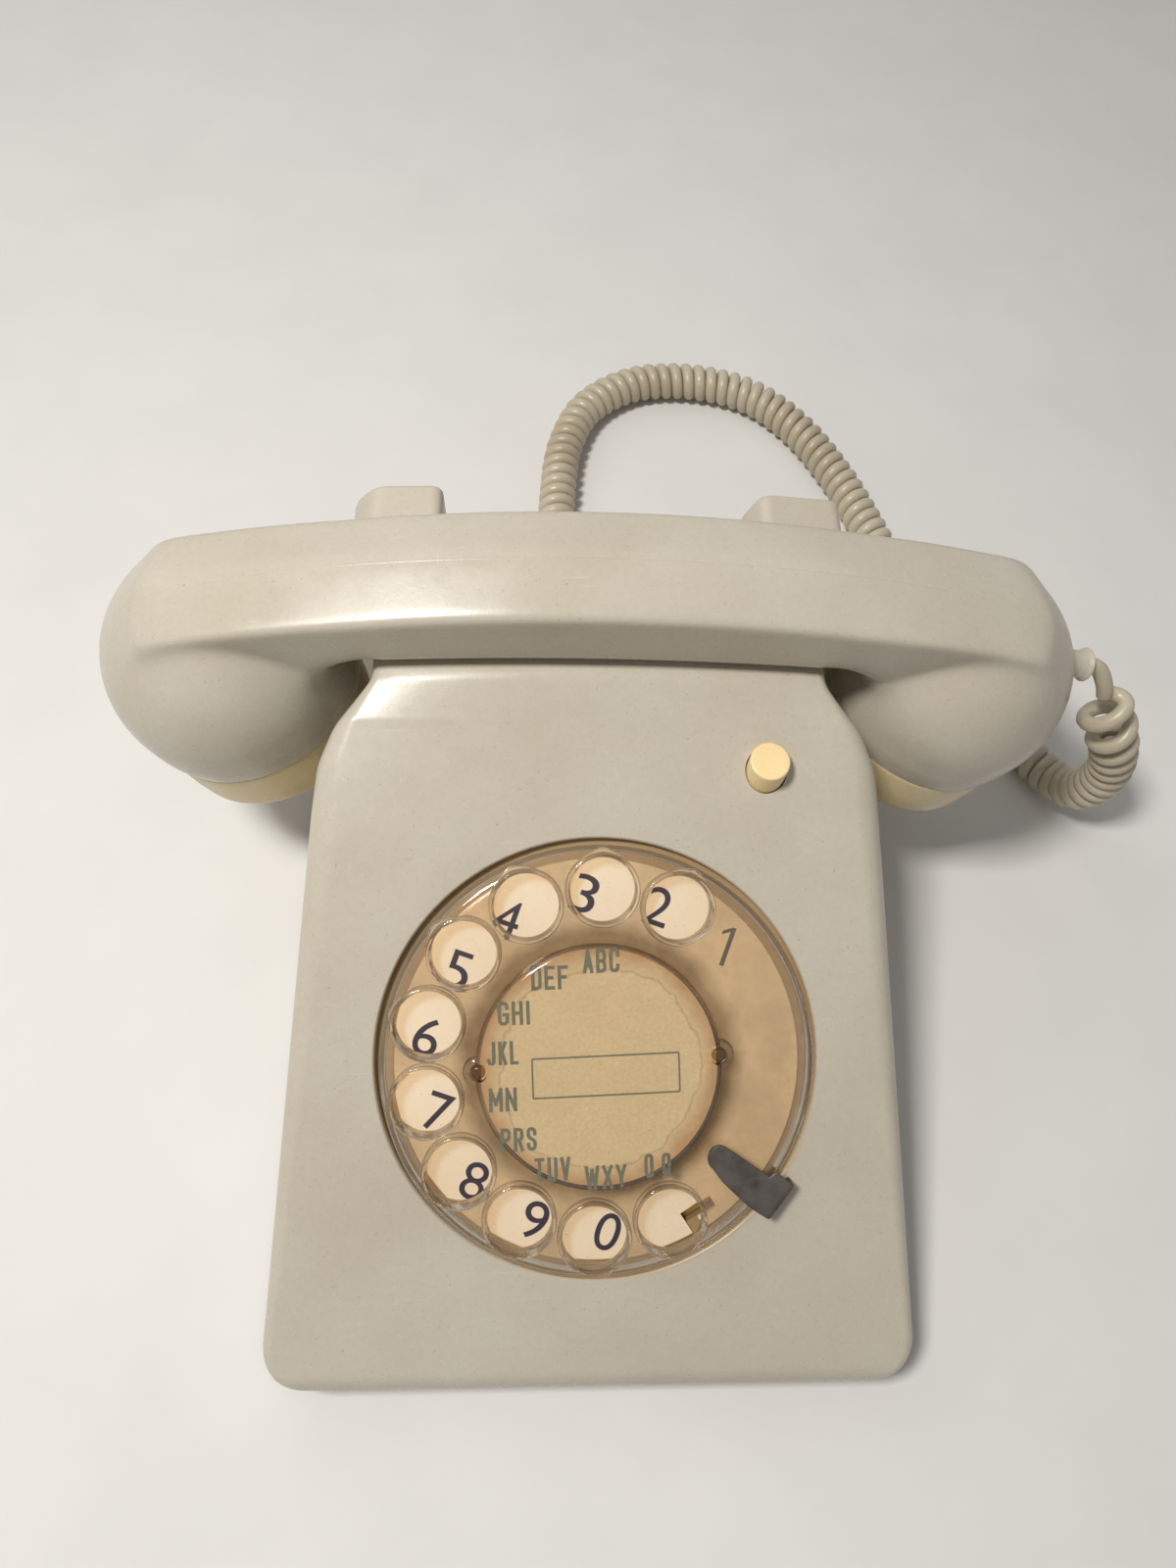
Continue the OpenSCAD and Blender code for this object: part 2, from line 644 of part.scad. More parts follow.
module governor_weights() {
    color(brass_colour) at_dial() translate([governor_x, governor_y, -16.9]) difference() {
        union() {
            for (s = [0, 180]) rotate(s) translate([3.3, 0, 0]) cylinder(h = 1.8, r = 1.7);
            translate([-3.3, -0.8, 0]) cube([6.6, 1.6, 1.8]);
            cylinder(h = 1.8, r = 1.8);
        }
        translate([0, 0, -1]) cylinder(h = 4, r = small_shaft_r);
    }
}

module governor_cup() {
    color(steel_colour) at_dial() translate([governor_x, governor_y, back_plate_w + move_t]) difference() {
        cylinder(h = 3.2, r = 6.1);
        translate([0, 0, 0.5]) cylinder(h = 4, r = 5.4);
        translate([0, 0, -1]) cylinder(h = 4, r = small_shaft_r + 0.4);
    }
}

// Stack of contact leaves beside the cam
module pulse_contacts() {
    color(steel_colour) at_dial() translate([-5.9, idler_c, 0]) {
        for (i = [0:2]) translate([-1.9 * i - 0.5, -12, -16.8]) cube([0.4, 14, 2.6]);
        translate([-5.2, -16, back_plate_w + move_t]) cube([6, 5, 6]);
    }
}

// --- Hook switch -----------------------------------------------------------------------------------

plunger_top = handle_low - plunger_x * plunger_x / (2 * under_r) - 0.3;
hook_travel = 5;
yoke_z = deck_z - 24;
yoke_t = 3;

// Two plungers that stand through the deck, joined by a yoke bar
module hook_plungers() {
    color("#d8d2bf") {
        for (s = [-1, 1]) translate([s * plunger_x, handset_y, yoke_z]) {
            cylinder(h = plunger_top - yoke_z - 1, r = plunger_r);
            translate([0, 0, plunger_top - yoke_z - 1 - eps])
                cylinder(h = 1 + eps, r1 = plunger_r, r2 = plunger_r - 0.8);
        }
        translate([-plunger_x - 3, handset_y - 4, yoke_z - yoke_t])
            cube([2 * plunger_x + 6, 8, yoke_t]);
        translate([-2, handset_y - 2, yoke_z - yoke_t - 14]) cube([4, 4, 15]);
    }
}

module hook_bracket() {
    z0 = inner_floor;
    color(steel_colour) difference() {
        union() {
            for (s = [-1, 1]) translate([s * 22 - 1, handset_y - 9, z0]) cube([2, 18, yoke_z - 16 - z0]);
            translate([-23, handset_y - 9, yoke_z - 17]) cube([46, 18, 2]);
            for (s = [-1, 1]) translate([s * 26 - 6, handset_y - 9, z0]) cube([12, 18, 1.2]);
        }
        translate([-2.5, handset_y - 2.5, yoke_z - 30]) cube([5, 5, 30]);
    }
}

module hook_contacts() {
    color(brass_colour) for (i = [0:3])
        translate([8 + 2.2 * i, handset_y - 8, yoke_z - 15]) cube([0.5, 16, 7]);
    color(brass_colour) translate([7, handset_y - 8, yoke_z - 15]) cube([9, 3, 4]);
}

// --- Push button -----------------------------------------------------------------------------------

button_face_z = face_z(button_y);
button_low = button_face_z - 8.6;

module push_button() {
    color("#efd9a0") difference() {
        union() {
            translate([button_x, button_y, button_low]) cylinder(h = 8.6 + button_rise + 6, d = button_d);
            translate([button_x, button_y, button_low]) cylinder(h = 2, d = button_d + 5);
        }
        translate([button_x, button_y, button_face_z + button_rise]) rotate([face_slope, 0, 0])
            translate([-12, -12, 0]) cube([24, 24, 20]);
    }
}

// Contact block that hangs from the underside of the face on two straps
module button_contact() {
    top = button_low - button_travel - 0.4;
    strap_x = 8.4;
    color(steel_colour) difference() {
        union() {
            translate([button_x - strap_x, button_y - 5, top - 5]) cube([2 * strap_x, 10, 5]);
            for (s = [-1, 1]) translate([button_x + s * strap_x - 0.5, button_y - 4, top - 5])
                cube([1, 8, 22]);
        }
        translate([button_x, button_y, button_face_z]) rotate([face_slope, 0, 0])
            translate([-20, -20, -wall - 0.1]) cube([40, 40, 30]);
    }
}

// --- Ringer ----------------------------------------------------------------------------------------

bell_x = bell_d / 2 + 5;
bell_y = handset_y - 38;
post_r = 2.5;

module bell_shell() {
    r = bell_d / 2;
    rotate_extrude() polygon([[post_r, bell_h - bell_t], [r * 0.5, bell_h - bell_t - 0.8],
        [r * 0.82, bell_h - bell_t - 3.5], [r - bell_t, 3], [r - bell_t, 0], [r, 0], [r, 3.4],
        [r * 0.87, bell_h - 3], [r * 0.5, bell_h - 0.6], [post_r, bell_h]]);
}

module bell_left() {
    color(steel_colour) translate([-bell_x, bell_y, bell_z]) bell_shell();
}

module bell_right() {
    color(steel_colour) translate([bell_x, bell_y, bell_z]) bell_shell();
}

module bell_screws() {
    color(brass_colour) for (s = [-1, 1]) translate([s * bell_x, bell_y, bell_z]) difference() {
        union() {
            translate([0, 0, bell_h]) cylinder(h = 2, r = post_r + 1.8);
            translate([0, 0, bell_h - bell_t - 3]) cylinder(h = bell_t + 3 + eps, r = post_r - 0.05);
        }
        translate([-6, -0.5, bell_h + 1]) cube([12, 1, 3]);
    }
}

coil_z = inner_floor + 9;
coil_y = bell_y + 26;
pin_y = coil_y - 12;

module ringer_frame() {
    color(steel_colour) {
        for (s = [-1, 1]) translate([s * bell_x, bell_y, inner_floor]) difference() {
            cylinder(h = bell_z + bell_h - bell_t - inner_floor, r = post_r + 1.2);
            translate([0, 0, bell_z + bell_h - bell_t - 3.5 - inner_floor]) cylinder(h = 5, r = post_r);
        }
        translate([0, pin_y, inner_floor]) cylinder(h = bell_z - 4.8 - inner_floor, r = 2.4);
        translate([0, pin_y, inner_floor]) cylinder(h = bell_z + 1 - inner_floor, r = 1);
        difference() {
            translate([-bell_x - 5, bell_y - 5, inner_floor]) cube([2 * bell_x + 10, 10, 1.5]);
            translate([0, bell_y, inner_floor - 1]) cylinder(h = 4, r = 2);
        }
        translate([-17, bell_y - 5, inner_floor]) cube([34, coil_y - bell_y + 14, 1.5]);
        for (s = [-1, 1]) translate([s * 15.2 - 1.2, coil_y - 6, inner_floor]) cube([2.4, 12, 14]);
    }
}

module ringer_coil() {
    color("#7a4a2a") translate([-13.6, coil_y, coil_z]) rotate([0, 90, 0]) {
        cylinder(h = 27.2, r = 6);
        for (z = [0, 25.6]) translate([0, 0, z]) cylinder(h = 1.6, r = 7.2);
    }
}

// Armature on a pin with a rod and a ball that swings between the bells
module clapper() {
    color(steel_colour) translate([0, 0, bell_z - 2.6]) {
        difference() {
            translate([-11, pin_y - 2, -2]) cube([22, 4, 4]);
            translate([0, pin_y, -5]) cylinder(h = 10, r = 1 + running_gap);
        }
        translate([-0.8, bell_y + 2, -0.8]) cube([1.6, pin_y - 2 - bell_y - 2 + eps, 1.6]);
        translate([0, bell_y, 1.6]) sphere(r = 3.2);
    }
}

// --- Circuit parts ---------------------------------------------------------------------------------

board_z = inner_floor + 5;
board_x = 46;
board_y = rear_y - 42;
board_t = 1.6;
coil_room = shelf_h - wall - 1 - board_z - board_t;
capacitor_r = coil_room / 2;

module circuit_board() {
    color("#8a6a3a") difference() {
        union() {
            translate([board_x - 20, board_y - 22, board_z]) cube([42, 44, board_t]);
            for (x = [-17, 19], y = [-19, 19]) translate([board_x + x, board_y + y, inner_floor])
                cylinder(h = board_z - inner_floor + eps, r = 2);
        }
        for (x = [-17, 19], y = [-19, 19]) translate([board_x + x, board_y + y, inner_floor - 1])
            cylinder(h = 12, r = 1);
    }
}

module induction_coil() {
    color("#4a3a30") translate([board_x - 14, board_y - 6, board_z + board_t]) {
        cube([18, 5, coil_room]);
        translate([0, 11, 0]) cube([18, 5, coil_room]);
        translate([4, 4.9, 1]) cube([10, 6.2, coil_room - 2]);
    }
}

module capacitor() {
    color("#b9b4a4") translate([board_x + 13, board_y - 12, board_z + board_t + capacitor_r - 0.02])
        rotate([-90, 0, 0]) union() {
            cylinder(h = 24, r = capacitor_r);
            translate([0, 0, 24 - eps]) cylinder(h = 1.5, r = 2);
        }
}

module terminal_strip() {
    color(cream_colour) translate([board_x - 18, board_y + 12, board_z + board_t]) difference() {
        cube([26, 8, 8]);
        for (i = [0:4]) translate([3 + 5 * i, 4, 3]) cylinder(h = 6, r = 1.4);
    }
}

// --- Handset ---------------------------------------------------------------------------------------

function along(a) = [sin(a), cos(a)];
fan_end = 90 + cup_tilt;
fillet = 12;
pivot = [cup_x, cup_z] - (cup_r + fillet) * along(fan_end);
band_end = handset_l / 2 - 13.5;
end_lean = 0.2;
function crown_line(x) = crown_z - crown_r + sqrt(crown_r * crown_r - x * x);
function under_line(x) = handle_low - x * x / (2 * under_r);

// Radius of a convex outline at angle a, from flats [angle, distance] rounded where they meet
function flats_radius(a, flats, k) =
    pow(vsum([for (f = flats) pow(max(0, cos(a - f[0])) / f[1], k)]), -1 / k);
function vsum(v, i = 0) = i < len(v) ? v[i] + vsum(v, i + 1) : 0;

// Outline of the handle: roofed top, upright sides, rounded underside
roof_a = 15;
function handle_radius(a, h) = flats_radius(a, [[roof_a, h * cos(roof_a)], [-roof_a, h * cos(roof_a)],
    [90, handle_w / 2], [-90, handle_w / 2], [180, h],
    [137, (h + handle_w / 2) * 0.62], [-137, (h + handle_w / 2) * 0.62]], 18);

// Outline of a round slice whose middle lies d from the section's middle
function slice_radius(a, d, r) = r <= abs(d) ? 0 : d * cos(a) + sqrt(r * r - pow(d * sin(a), 2));

// Distance from the pivot to the outside of the band at fan angle f: the crown, then the end face
function band_out(f) =
    let (e = along(f), q = pivot - [0, crown_z - crown_r],
        r1 = -q * e + sqrt(pow(q * e, 2) - (q * q - crown_r * crown_r)),
        r2 = (band_end - pivot[0] + end_lean * (crown_line(band_end) - pivot[1])) / (e[0] + end_lean * e[1]))
    f < 20 ? r1 : pow(pow(r1, -24) + pow(max(r2, 1), -24), -1 / 24);

ring_n = 24;
ring_angles = [for (i = [0:ring_n - 1]) i * 360 / ring_n];

// Ring of points in the plane through base point b along e, centred at distance m, radius list rr
function ring(b, e, m, rr) = [for (i = [0:ring_n - 1]) let (a = ring_angles[i], p = b + e * (m + rr[i] * cos(a)))
    [p[0], handset_y + rr[i] * sin(a), p[1]]];

function handle_ring(x) = let (lo = under_line(x), hi = crown_line(x), h = (hi - lo) / 2)
    ring([x, 0], [0, 1], (hi + lo) / 2, [for (a = ring_angles) handle_radius(a, h)]);

function fan_ring(f) =
    let (lo = (under_line(pivot[0]) - pivot[1]) * (1 - f / fan_end) + (fillet + 2) * f / fan_end,
        hi = band_out(f), h = (hi - lo) / 2, m = (hi + lo) / 2,
        c = (cup_r + fillet) * cos(fan_end - f), off = (cup_r + fillet) * sin(fan_end - f),
        rs = off < cup_r ? sqrt(cup_r * cup_r - off * off) : 0,
        fade = 1 - 0.4 * pow(max(0, (f - 70) / (fan_end - 70)), 2))
    ring(pivot, along(f), m, [for (a = ring_angles)
        pow(pow(handle_radius(a, h) * fade, 9) + pow(slice_radius(a, c - m, rs), 9), 1 / 9)]);

// Ring round the tilted axis of a cup at distance s from its middle
function cup_ring(s) = let (q = cup_pitch * min(1, s / (0.6 * seam_drop)),
        d = [-sin(cup_tilt), -sin(q) * cos(cup_tilt), -cos(q) * cos(cup_tilt)],
        e = [cos(cup_tilt), -sin(cup_tilt) * sin(q), -sin(cup_tilt) * cos(q)], v = [0, cos(q), -sin(q)],
        r = cup_r - (cup_r - seam_r) * pow(s / seam_drop, 2))
    [for (a = ring_angles) [cup_x, handset_y, cup_z] + s * d + r * (cos(a) * e + sin(a) * v)];

right_rings = concat([for (k = [0.25, 0.5, 0.75]) handle_ring(k * pivot[0])],
    [for (f = [0, 14, 28, 40, 50, 58, 64, 70, 76, 83, 91, 98, fan_end]) fan_ring(f)],
    [for (k = [0.25, 0.6, 0.8, 1]) cup_ring(k * seam_drop)]);

function flip(r) = [for (p = r) [-p[0], p[1], p[2]]];

module handset_solid() {
    n = ring_n;
    rings = concat([for (i = [len(right_rings) - 1:-1:0]) flip(right_rings[i])], [handle_ring(0)], right_rings);
    m = len(rings);
    polyhedron(points = [for (r = rings) each r],
        faces = concat([[for (i = [n - 1:-1:0]) i]],
            [for (k = [0:m - 2], i = [0:n - 1]) let (a = k * n + i, b = k * n + (i + 1) % n)
                each [[a, b, a + n], [b, b + n, a + n]]],
            [[for (i = [0:n - 1]) (m - 1) * n + i]]), convexity = 6);
}

// Puts children at the middle of a cup with +Z along its axis, out of the cup towards the cap
module at_cup(side) {
    translate([side * cup_x, handset_y, cup_z]) rotate([-cup_pitch, 0, 0])
        rotate([0, side * (180 + cup_tilt), 0]) children();
}

nub_z = cup_z + 5.5;
nub_x = handset_l / 2 - 1.6;
nub_r = 4.4;

module at_nub() {
    translate([nub_x, handset_y, nub_z]) rotate([0, 100, 0]) children();
}

cavity_r = 22;
cavity_depth = 26;
thread_r = 23.6;

module handset_shell() {
    color(shell_colour) difference() {
        handset_solid();
        for (s = [-1, 1]) at_cup(s) rotate(7) {
            translate([0, 0, seam_drop - cavity_depth]) cylinder(h = cavity_depth + 5, r = cavity_r);
            translate([0, 0, seam_drop - 5]) cylinder(h = 10, r = thread_r);
        }
        at_nub() translate([0, 0, -8]) cylinder(h = 14, r = nub_r + 0.05);
    }
}

// Screwed cap: skirt inside the cup, rounded rim, shallow dish with sound holes
module cap(hole_rings) {
    r1 = seam_r;
    r2 = seam_r - 1.6;
    difference() {
        rotate_extrude() polygon([[0, cap_h - 4.2], [r2 - 8, cap_h - 3], [r2 - 4, cap_h - 0.6], [r2 - 2.4, cap_h],
            [r2 - 1, cap_h - 0.3], [r2, cap_h - 1.8], [r2 + 0.9, cap_h / 2], [r1, 0.1], [thread_r - 0.1, 0.1],
            [thread_r - 0.1, -4.6], [thread_r - 2, -4.6], [thread_r - 2, cap_h - 5.2], [0, cap_h - 6.2]]);
        for (h = hole_rings, i = [0:h[1] - 1]) rotate(i * 360 / h[1])
            translate([h[0], 0, 0]) cylinder(h = cap_h, r = 1.1, $fn = 24);
    }
}

module ear_cap() {
    color(shell_colour) at_cup(-1) translate([0, 0, seam_drop]) cap([[0, 1], [4.5, 6], [9, 12]]);
}

module mouth_cap() {
    color(shell_colour) at_cup(1) translate([0, 0, seam_drop]) cap([[5, 5], [10, 10]]);
}

module capsule() {
    h = cap_h - 7;
    translate([0, 0, seam_drop]) {
        translate([0, 0, -4]) cylinder(h = h + 4, r = 20.8);
        translate([0, 0, -16]) cylinder(h = 12 + eps, r = 18);
        translate([0, 0, -22]) cylinder(h = 6 + eps, r = 5);
    }
}

module receiver_capsule() {
    color(steel_colour) at_cup(-1) capsule();
}

module transmitter_capsule() {
    color(dark_colour) at_cup(1) capsule();
}

// Conical nub where the cord leaves the handset
module strain_relief() {
    color(shell_colour) at_nub() {
        translate([0, 0, -0.6]) cylinder(h = 1.8, r = nub_r);
        translate([0, 0, 1.2 - eps]) cylinder(h = 5, r1 = nub_r - 0.5, r2 = nub_r - 1.5);
    }
}

// --- Handset cord: thin tails at both ends, one fat tube for the coiled part ------------------------

coil_table_z = coil_d / 2 + 0.1;
cord_points = [[125.3, 63, 72.78, 1], [128.6, 62.5, 71.8, 1], [131.8, 60.2, 67.6, 1], [134.5, 58.5, 61.5, 1],
    [139, 56, 54, 2], [144.5, 54, 45, 2], [148.5, 53, 35, 2], [150, 53, 25, 2], [149.5, 54.5, 15.5, 2],
    [146.5, 60, 9, 2], [141, 69, 6.8, 2], [132, 83, 6.8, 2], [122, 99, 6.8, 2], [113, 118, 6.8, 2],
    [105.5, 139, 6.8, 2], [99, 159, 6.8, 2], [91, 180, 6.8, 2], [79, 201, 6.8, 2], [63, 216, 6.8, 2],
    [42, 222.5, 6.8, 2], [20, 220, 6.8, 2], [3, 208, 6.8, 2], [-5, 190, 6.8, 2], [-7.5, 171, 6.8, 2],
    [-8.3, 152, 6.8, 2], [-8.8, 136, 7, 2], [-9, 126, 8.5, 1], [-9, 118, 11, 1], [-9, 111, 12.8, 1],
    [-9, 106, 13, 1], [-9, 100, 13, 1]];

// Catmull-Rom point between points i and i + 1
function cr(i, u) = let (n = len(cord_points), p0 = cord_points[max(0, i - 1)], p1 = cord_points[i],
        p2 = cord_points[i + 1], p3 = cord_points[min(n - 1, i + 2)])
    0.5 * (2 * p1 + (p2 - p0) * u + (2 * p0 - 5 * p1 + 4 * p2 - p3) * u * u
        + (3 * p1 - p0 - 3 * p2 + p3) * u * u * u);
function xyz(p) = [p[0], p[1], p[2]];
function unit(v) = v / norm(v);

module handset_cord() {
    n = 10;
    path = concat([for (i = [0:len(cord_points) - 2], u = [0, 0.5]) cr(i, u)],
        [cord_points[len(cord_points) - 1]]);
    m = len(path);
    rings = [for (k = [0:m - 1])
        let (p = path[k], t = unit(xyz(path[min(m - 1, k + 1)]) - xyz(path[max(0, k - 1)])),
            s = unit(cross(t, abs(t[2]) > 0.9 ? [0, 1, 0] : [0, 0, 1])), v = cross(s, t),
            r = p[3] < 1.5 ? cord_d / 2 : coil_d / 2)
        [for (i = [0:n - 1]) let (a = (i + 0.5) * 360 / n) xyz(p) + r * (cos(a) * s + sin(a) * v)]];
    color(shell_colour) polyhedron(points = [for (r = rings) each r],
        faces = concat([[for (i = [n - 1:-1:0]) i]],
            [for (k = [0:m - 2], i = [0:n - 1]) let (a = k * n + i, b = k * n + (i + 1) % n)
                each [[a, b, a + n], [b, b + n, a + n]]],
            [[for (i = [0:n - 1]) (m - 1) * n + i]]), convexity = 6);
}

// --- Drawing ---------------------------------------------------------------------------------------

housing();
base_plate();
rubber_feet();
housing_screws();
handset_cord_gland();
line_cord_gland();
dial_case();
number_plate();
finger_stop();
finger_wheel();
label_card();
centre_cover();
main_shaft();
main_gear();
mainspring();
movement_front_plate();
movement_back_plate();
idler_shaft();
pulse_cam();
second_gear();
governor_shaft();
governor_weights();
governor_cup();
pulse_contacts();
hook_plungers();
hook_bracket();
hook_contacts();
push_button();
button_contact();
bell_left();
bell_right();
bell_screws();
ringer_frame();
ringer_coil();
clapper();
circuit_board();
induction_coil();
capacitor();
terminal_strip();
handset_shell();
ear_cap();
mouth_cap();
receiver_capsule();
transmitter_capsule();
strain_relief();
handset_cord();
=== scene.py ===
"""Rotary desk telephone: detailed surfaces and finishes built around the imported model.

Shapes are worked out in millimetres, in the same frame as the model, and become metres when they are
put into a mesh. X runs along the handset, Y from the front to the back, Z up from the table.
"""

from __future__ import annotations

import logging
import math
from dataclasses import dataclass
from enum import Enum

import bmesh
import bpy
import numpy as np
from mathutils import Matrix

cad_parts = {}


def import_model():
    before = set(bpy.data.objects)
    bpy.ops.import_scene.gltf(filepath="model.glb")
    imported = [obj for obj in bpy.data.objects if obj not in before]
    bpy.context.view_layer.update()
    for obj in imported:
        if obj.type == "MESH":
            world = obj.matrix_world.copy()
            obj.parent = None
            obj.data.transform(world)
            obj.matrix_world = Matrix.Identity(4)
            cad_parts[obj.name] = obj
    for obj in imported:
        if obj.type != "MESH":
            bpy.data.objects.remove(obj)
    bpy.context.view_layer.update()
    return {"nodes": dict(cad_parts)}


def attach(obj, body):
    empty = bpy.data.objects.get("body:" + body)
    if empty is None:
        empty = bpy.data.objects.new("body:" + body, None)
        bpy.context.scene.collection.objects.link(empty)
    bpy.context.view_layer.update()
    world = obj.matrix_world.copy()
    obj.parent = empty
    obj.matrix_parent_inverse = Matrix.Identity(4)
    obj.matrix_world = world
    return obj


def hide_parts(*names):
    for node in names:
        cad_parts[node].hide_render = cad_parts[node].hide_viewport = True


MM = 0.001
Tree, Socket, Node, Piece = bpy.types.NodeTree, bpy.types.NodeSocket, bpy.types.Node, bpy.types.Object
Surface = tuple[np.ndarray, np.ndarray]  # points, one a row, and the point numbers of each quad
Print = tuple[np.ndarray, list[list[int]]]  # points and the point numbers of each face
log = logging.getLogger("telephone")
logging.basicConfig(level=logging.INFO, format="%(name)s: %(message)s")


# --- Meshes -----------------------------------------------------------------------------------------


class Join(Enum):
    """Ways to join two closed solids."""

    CUT = "DIFFERENCE"
    ADD = "UNION"


def volume(points: np.ndarray, quads: np.ndarray) -> float:
    """Signed volume inside closed quads: the sum of the tetrahedra from the origin to each half quad.

    Args:
        points: Corner points, one a row.
        quads: Point numbers of each face, four a row.

    Returns:
        The volume, negative where the faces point inwards.
    """
    p = points[quads]
    first = np.einsum("ij,ij->i", p[:, 0], np.cross(p[:, 1], p[:, 2]))
    second = np.einsum("ij,ij->i", p[:, 0], np.cross(p[:, 2], p[:, 3]))
    return float((first + second).sum() / 6)


def grid_quads(rows: int, cols: int, close_rows: bool = False, close_cols: bool = True) -> np.ndarray:
    """Quads that join a grid of points, numbered row by row.

    Args:
        rows: Number of rows of points.
        cols: Number of points in a row.
        close_rows: Whether the last row joins the first.
        close_cols: Whether the last point of a row joins its first.

    Returns:
        Point numbers, four a row.
    """
    r = np.arange(rows if close_rows else rows - 1)[:, None]
    c = np.arange(cols if close_cols else cols - 1)[None, :]
    up, right = (r + 1) % rows, (c + 1) % cols
    return np.stack([r * cols + c, r * cols + right, up * cols + right, up * cols + c], -1).reshape(-1, 4)


def strip_cap(cols: int, start: int, flip: bool) -> np.ndarray:
    """Quads across a ring of an odd number of points, in strips between mirrored points.

    Args:
        cols: Number of points in the ring.
        start: Number of its first point.
        flip: Whether the cap faces the other way.

    Returns:
        Point numbers, four a row. The last quad, at the middle point, has two equal corners.
    """
    i = np.arange((cols - 1) // 2)
    quads = np.stack([i, i + 1, np.maximum(cols - 2 - i, i + 1), cols - 1 - i], -1) + start
    return quads[:, ::-1] if flip else quads


def build(name: str, points: np.ndarray, quads: np.ndarray, sharp: float = 32.0) -> Piece:
    """Puts millimetre points and quads into a mesh object at the origin, with its faces outwards.

    Args:
        name: Name of the piece.
        points: Corner points in millimetres.
        quads: Point numbers, four a row.
        sharp: Angle in degrees past which an edge stays sharp.

    Returns:
        The new object. Points at the same place, such as those of a pole, are merged.
    """
    if volume(points, quads) < 0:
        quads = quads[:, ::-1]
    mesh = bpy.data.meshes.new(name)
    faces = [list(dict.fromkeys(q)) for q in quads.tolist()]
    mesh.from_pydata((points * MM).tolist(), [], [f for f in faces if len(f) > 2])
    work = bmesh.new()
    work.from_mesh(mesh)
    bmesh.ops.remove_doubles(work, verts=work.verts, dist=1e-7)
    bmesh.ops.dissolve_degenerate(work, edges=work.edges, dist=1e-8)
    work.to_mesh(mesh)
    work.free()
    obj = bpy.data.objects.new(name, mesh)
    bpy.context.scene.collection.objects.link(obj)
    soften(obj, sharp)
    return obj


def soften(obj: Piece, sharp: float) -> None:
    """Shades a mesh smooth, apart from the edges whose faces meet at more than sharp degrees."""
    obj.data.shade_smooth()
    obj.data.set_sharp_from_angle(angle=math.radians(sharp))


def bake_modifiers(obj: Piece) -> None:
    """Replaces an object's mesh by the mesh that its modifiers make."""
    graph = bpy.context.evaluated_depsgraph_get()
    mesh = bpy.data.meshes.new_from_object(obj.evaluated_get(graph))
    obj.modifiers.clear()
    old, obj.data = obj.data, mesh
    bpy.data.meshes.remove(old)


def join(base: Piece, tools: list[Piece], how: Join, sharp: float = 32.0) -> None:
    """Cuts closed solids out of a piece or adds them to it, and removes the solids.

    Args:
        base: The piece that is changed.
        tools: The closed solids.
        how: Whether they are cut out or added.
        sharp: Angle in degrees past which an edge stays sharp.
    """
    for tool in tools:
        step = base.modifiers.new("join", "BOOLEAN")
        step.operation, step.solver, step.object = how.value, "MANIFOLD", tool
        bake_modifiers(base)
    for tool in tools:
        bpy.data.objects.remove(tool)
    soften(base, sharp)


def bevel(obj: Piece, width: float, segments: int, angle: float = 40.0) -> None:
    """Rounds the edges of a piece that turn by more than angle degrees; width is in millimetres."""
    step = obj.modifiers.new("bevel", "BEVEL")
    step.width, step.segments, step.angle_limit = width * MM, segments, math.radians(angle)
    step.limit_method = "ANGLE"
    bake_modifiers(obj)


def even_normals(obj: Piece) -> None:
    """Weights the shading by face area, so that flats stay flat beside their rounded edges."""
    step = obj.modifiers.new("weights", "WEIGHTED_NORMAL")
    step.keep_sharp = True
    bake_modifiers(obj)


def bend(t: np.ndarray, a: object, p: object, b: object) -> np.ndarray:
    """Curve from a to b that is drawn towards p: (1-t)^2 a + 2t(1-t) p + t^2 b."""
    return (1 - t) ** 2 * a + 2 * t * (1 - t) * p + t**2 * b


def rounded(corners: list[tuple[float, float]], cut: float, steps: int = 5) -> np.ndarray:
    """Open outline whose inner corners turn in short curves.

    Each corner becomes a bend between points on its two sides, at the distance cut from it or at 0.45 of
    the side where it is shorter.

    Args:
        corners: Outline points.
        cut: Distance in millimetres from a corner to where its curve starts.
        steps: Number of points in each curve.

    Returns:
        Points of the outline.
    """
    p = np.array(corners, float)
    a, b = p[:-2] - p[1:-1], p[2:] - p[1:-1]
    la, lb = np.linalg.norm(a, axis=1, keepdims=True), np.linalg.norm(b, axis=1, keepdims=True)
    a = p[1:-1] + a / la * np.minimum(cut, 0.45 * la)
    b = p[1:-1] + b / lb * np.minimum(cut, 0.45 * lb)
    t = np.linspace(0, 1, steps)[None, :, None]
    curve = bend(t, a[:, None], p[1:-1, None], b[:, None])
    return np.concatenate([p[:1], curve.reshape(-1, 2), p[-1:]])


def lathe(profile: np.ndarray, around: int = 128) -> Surface:
    """Surface of a profile of radius and height turned once round the Z axis.

    A point is (r cos a, r sin a, z). A profile that starts and ends on the axis gives a closed solid, and
    any other is closed from its last point to its first.

    Args:
        profile: Radius and height of each point.
        around: Number of steps round the axis.

    Returns:
        Points and quads.
    """
    a = np.linspace(0, 2 * np.pi, around, endpoint=False)
    r, z = profile[:, :1], profile[:, 1:]
    points = np.stack([r * np.cos(a), r * np.sin(a), z + 0 * a], -1).reshape(-1, 3)
    open_ends = bool(profile[0, 0] < 1e-9 and profile[-1, 0] < 1e-9)
    return points, grid_quads(len(profile), around, close_rows=not open_ends)


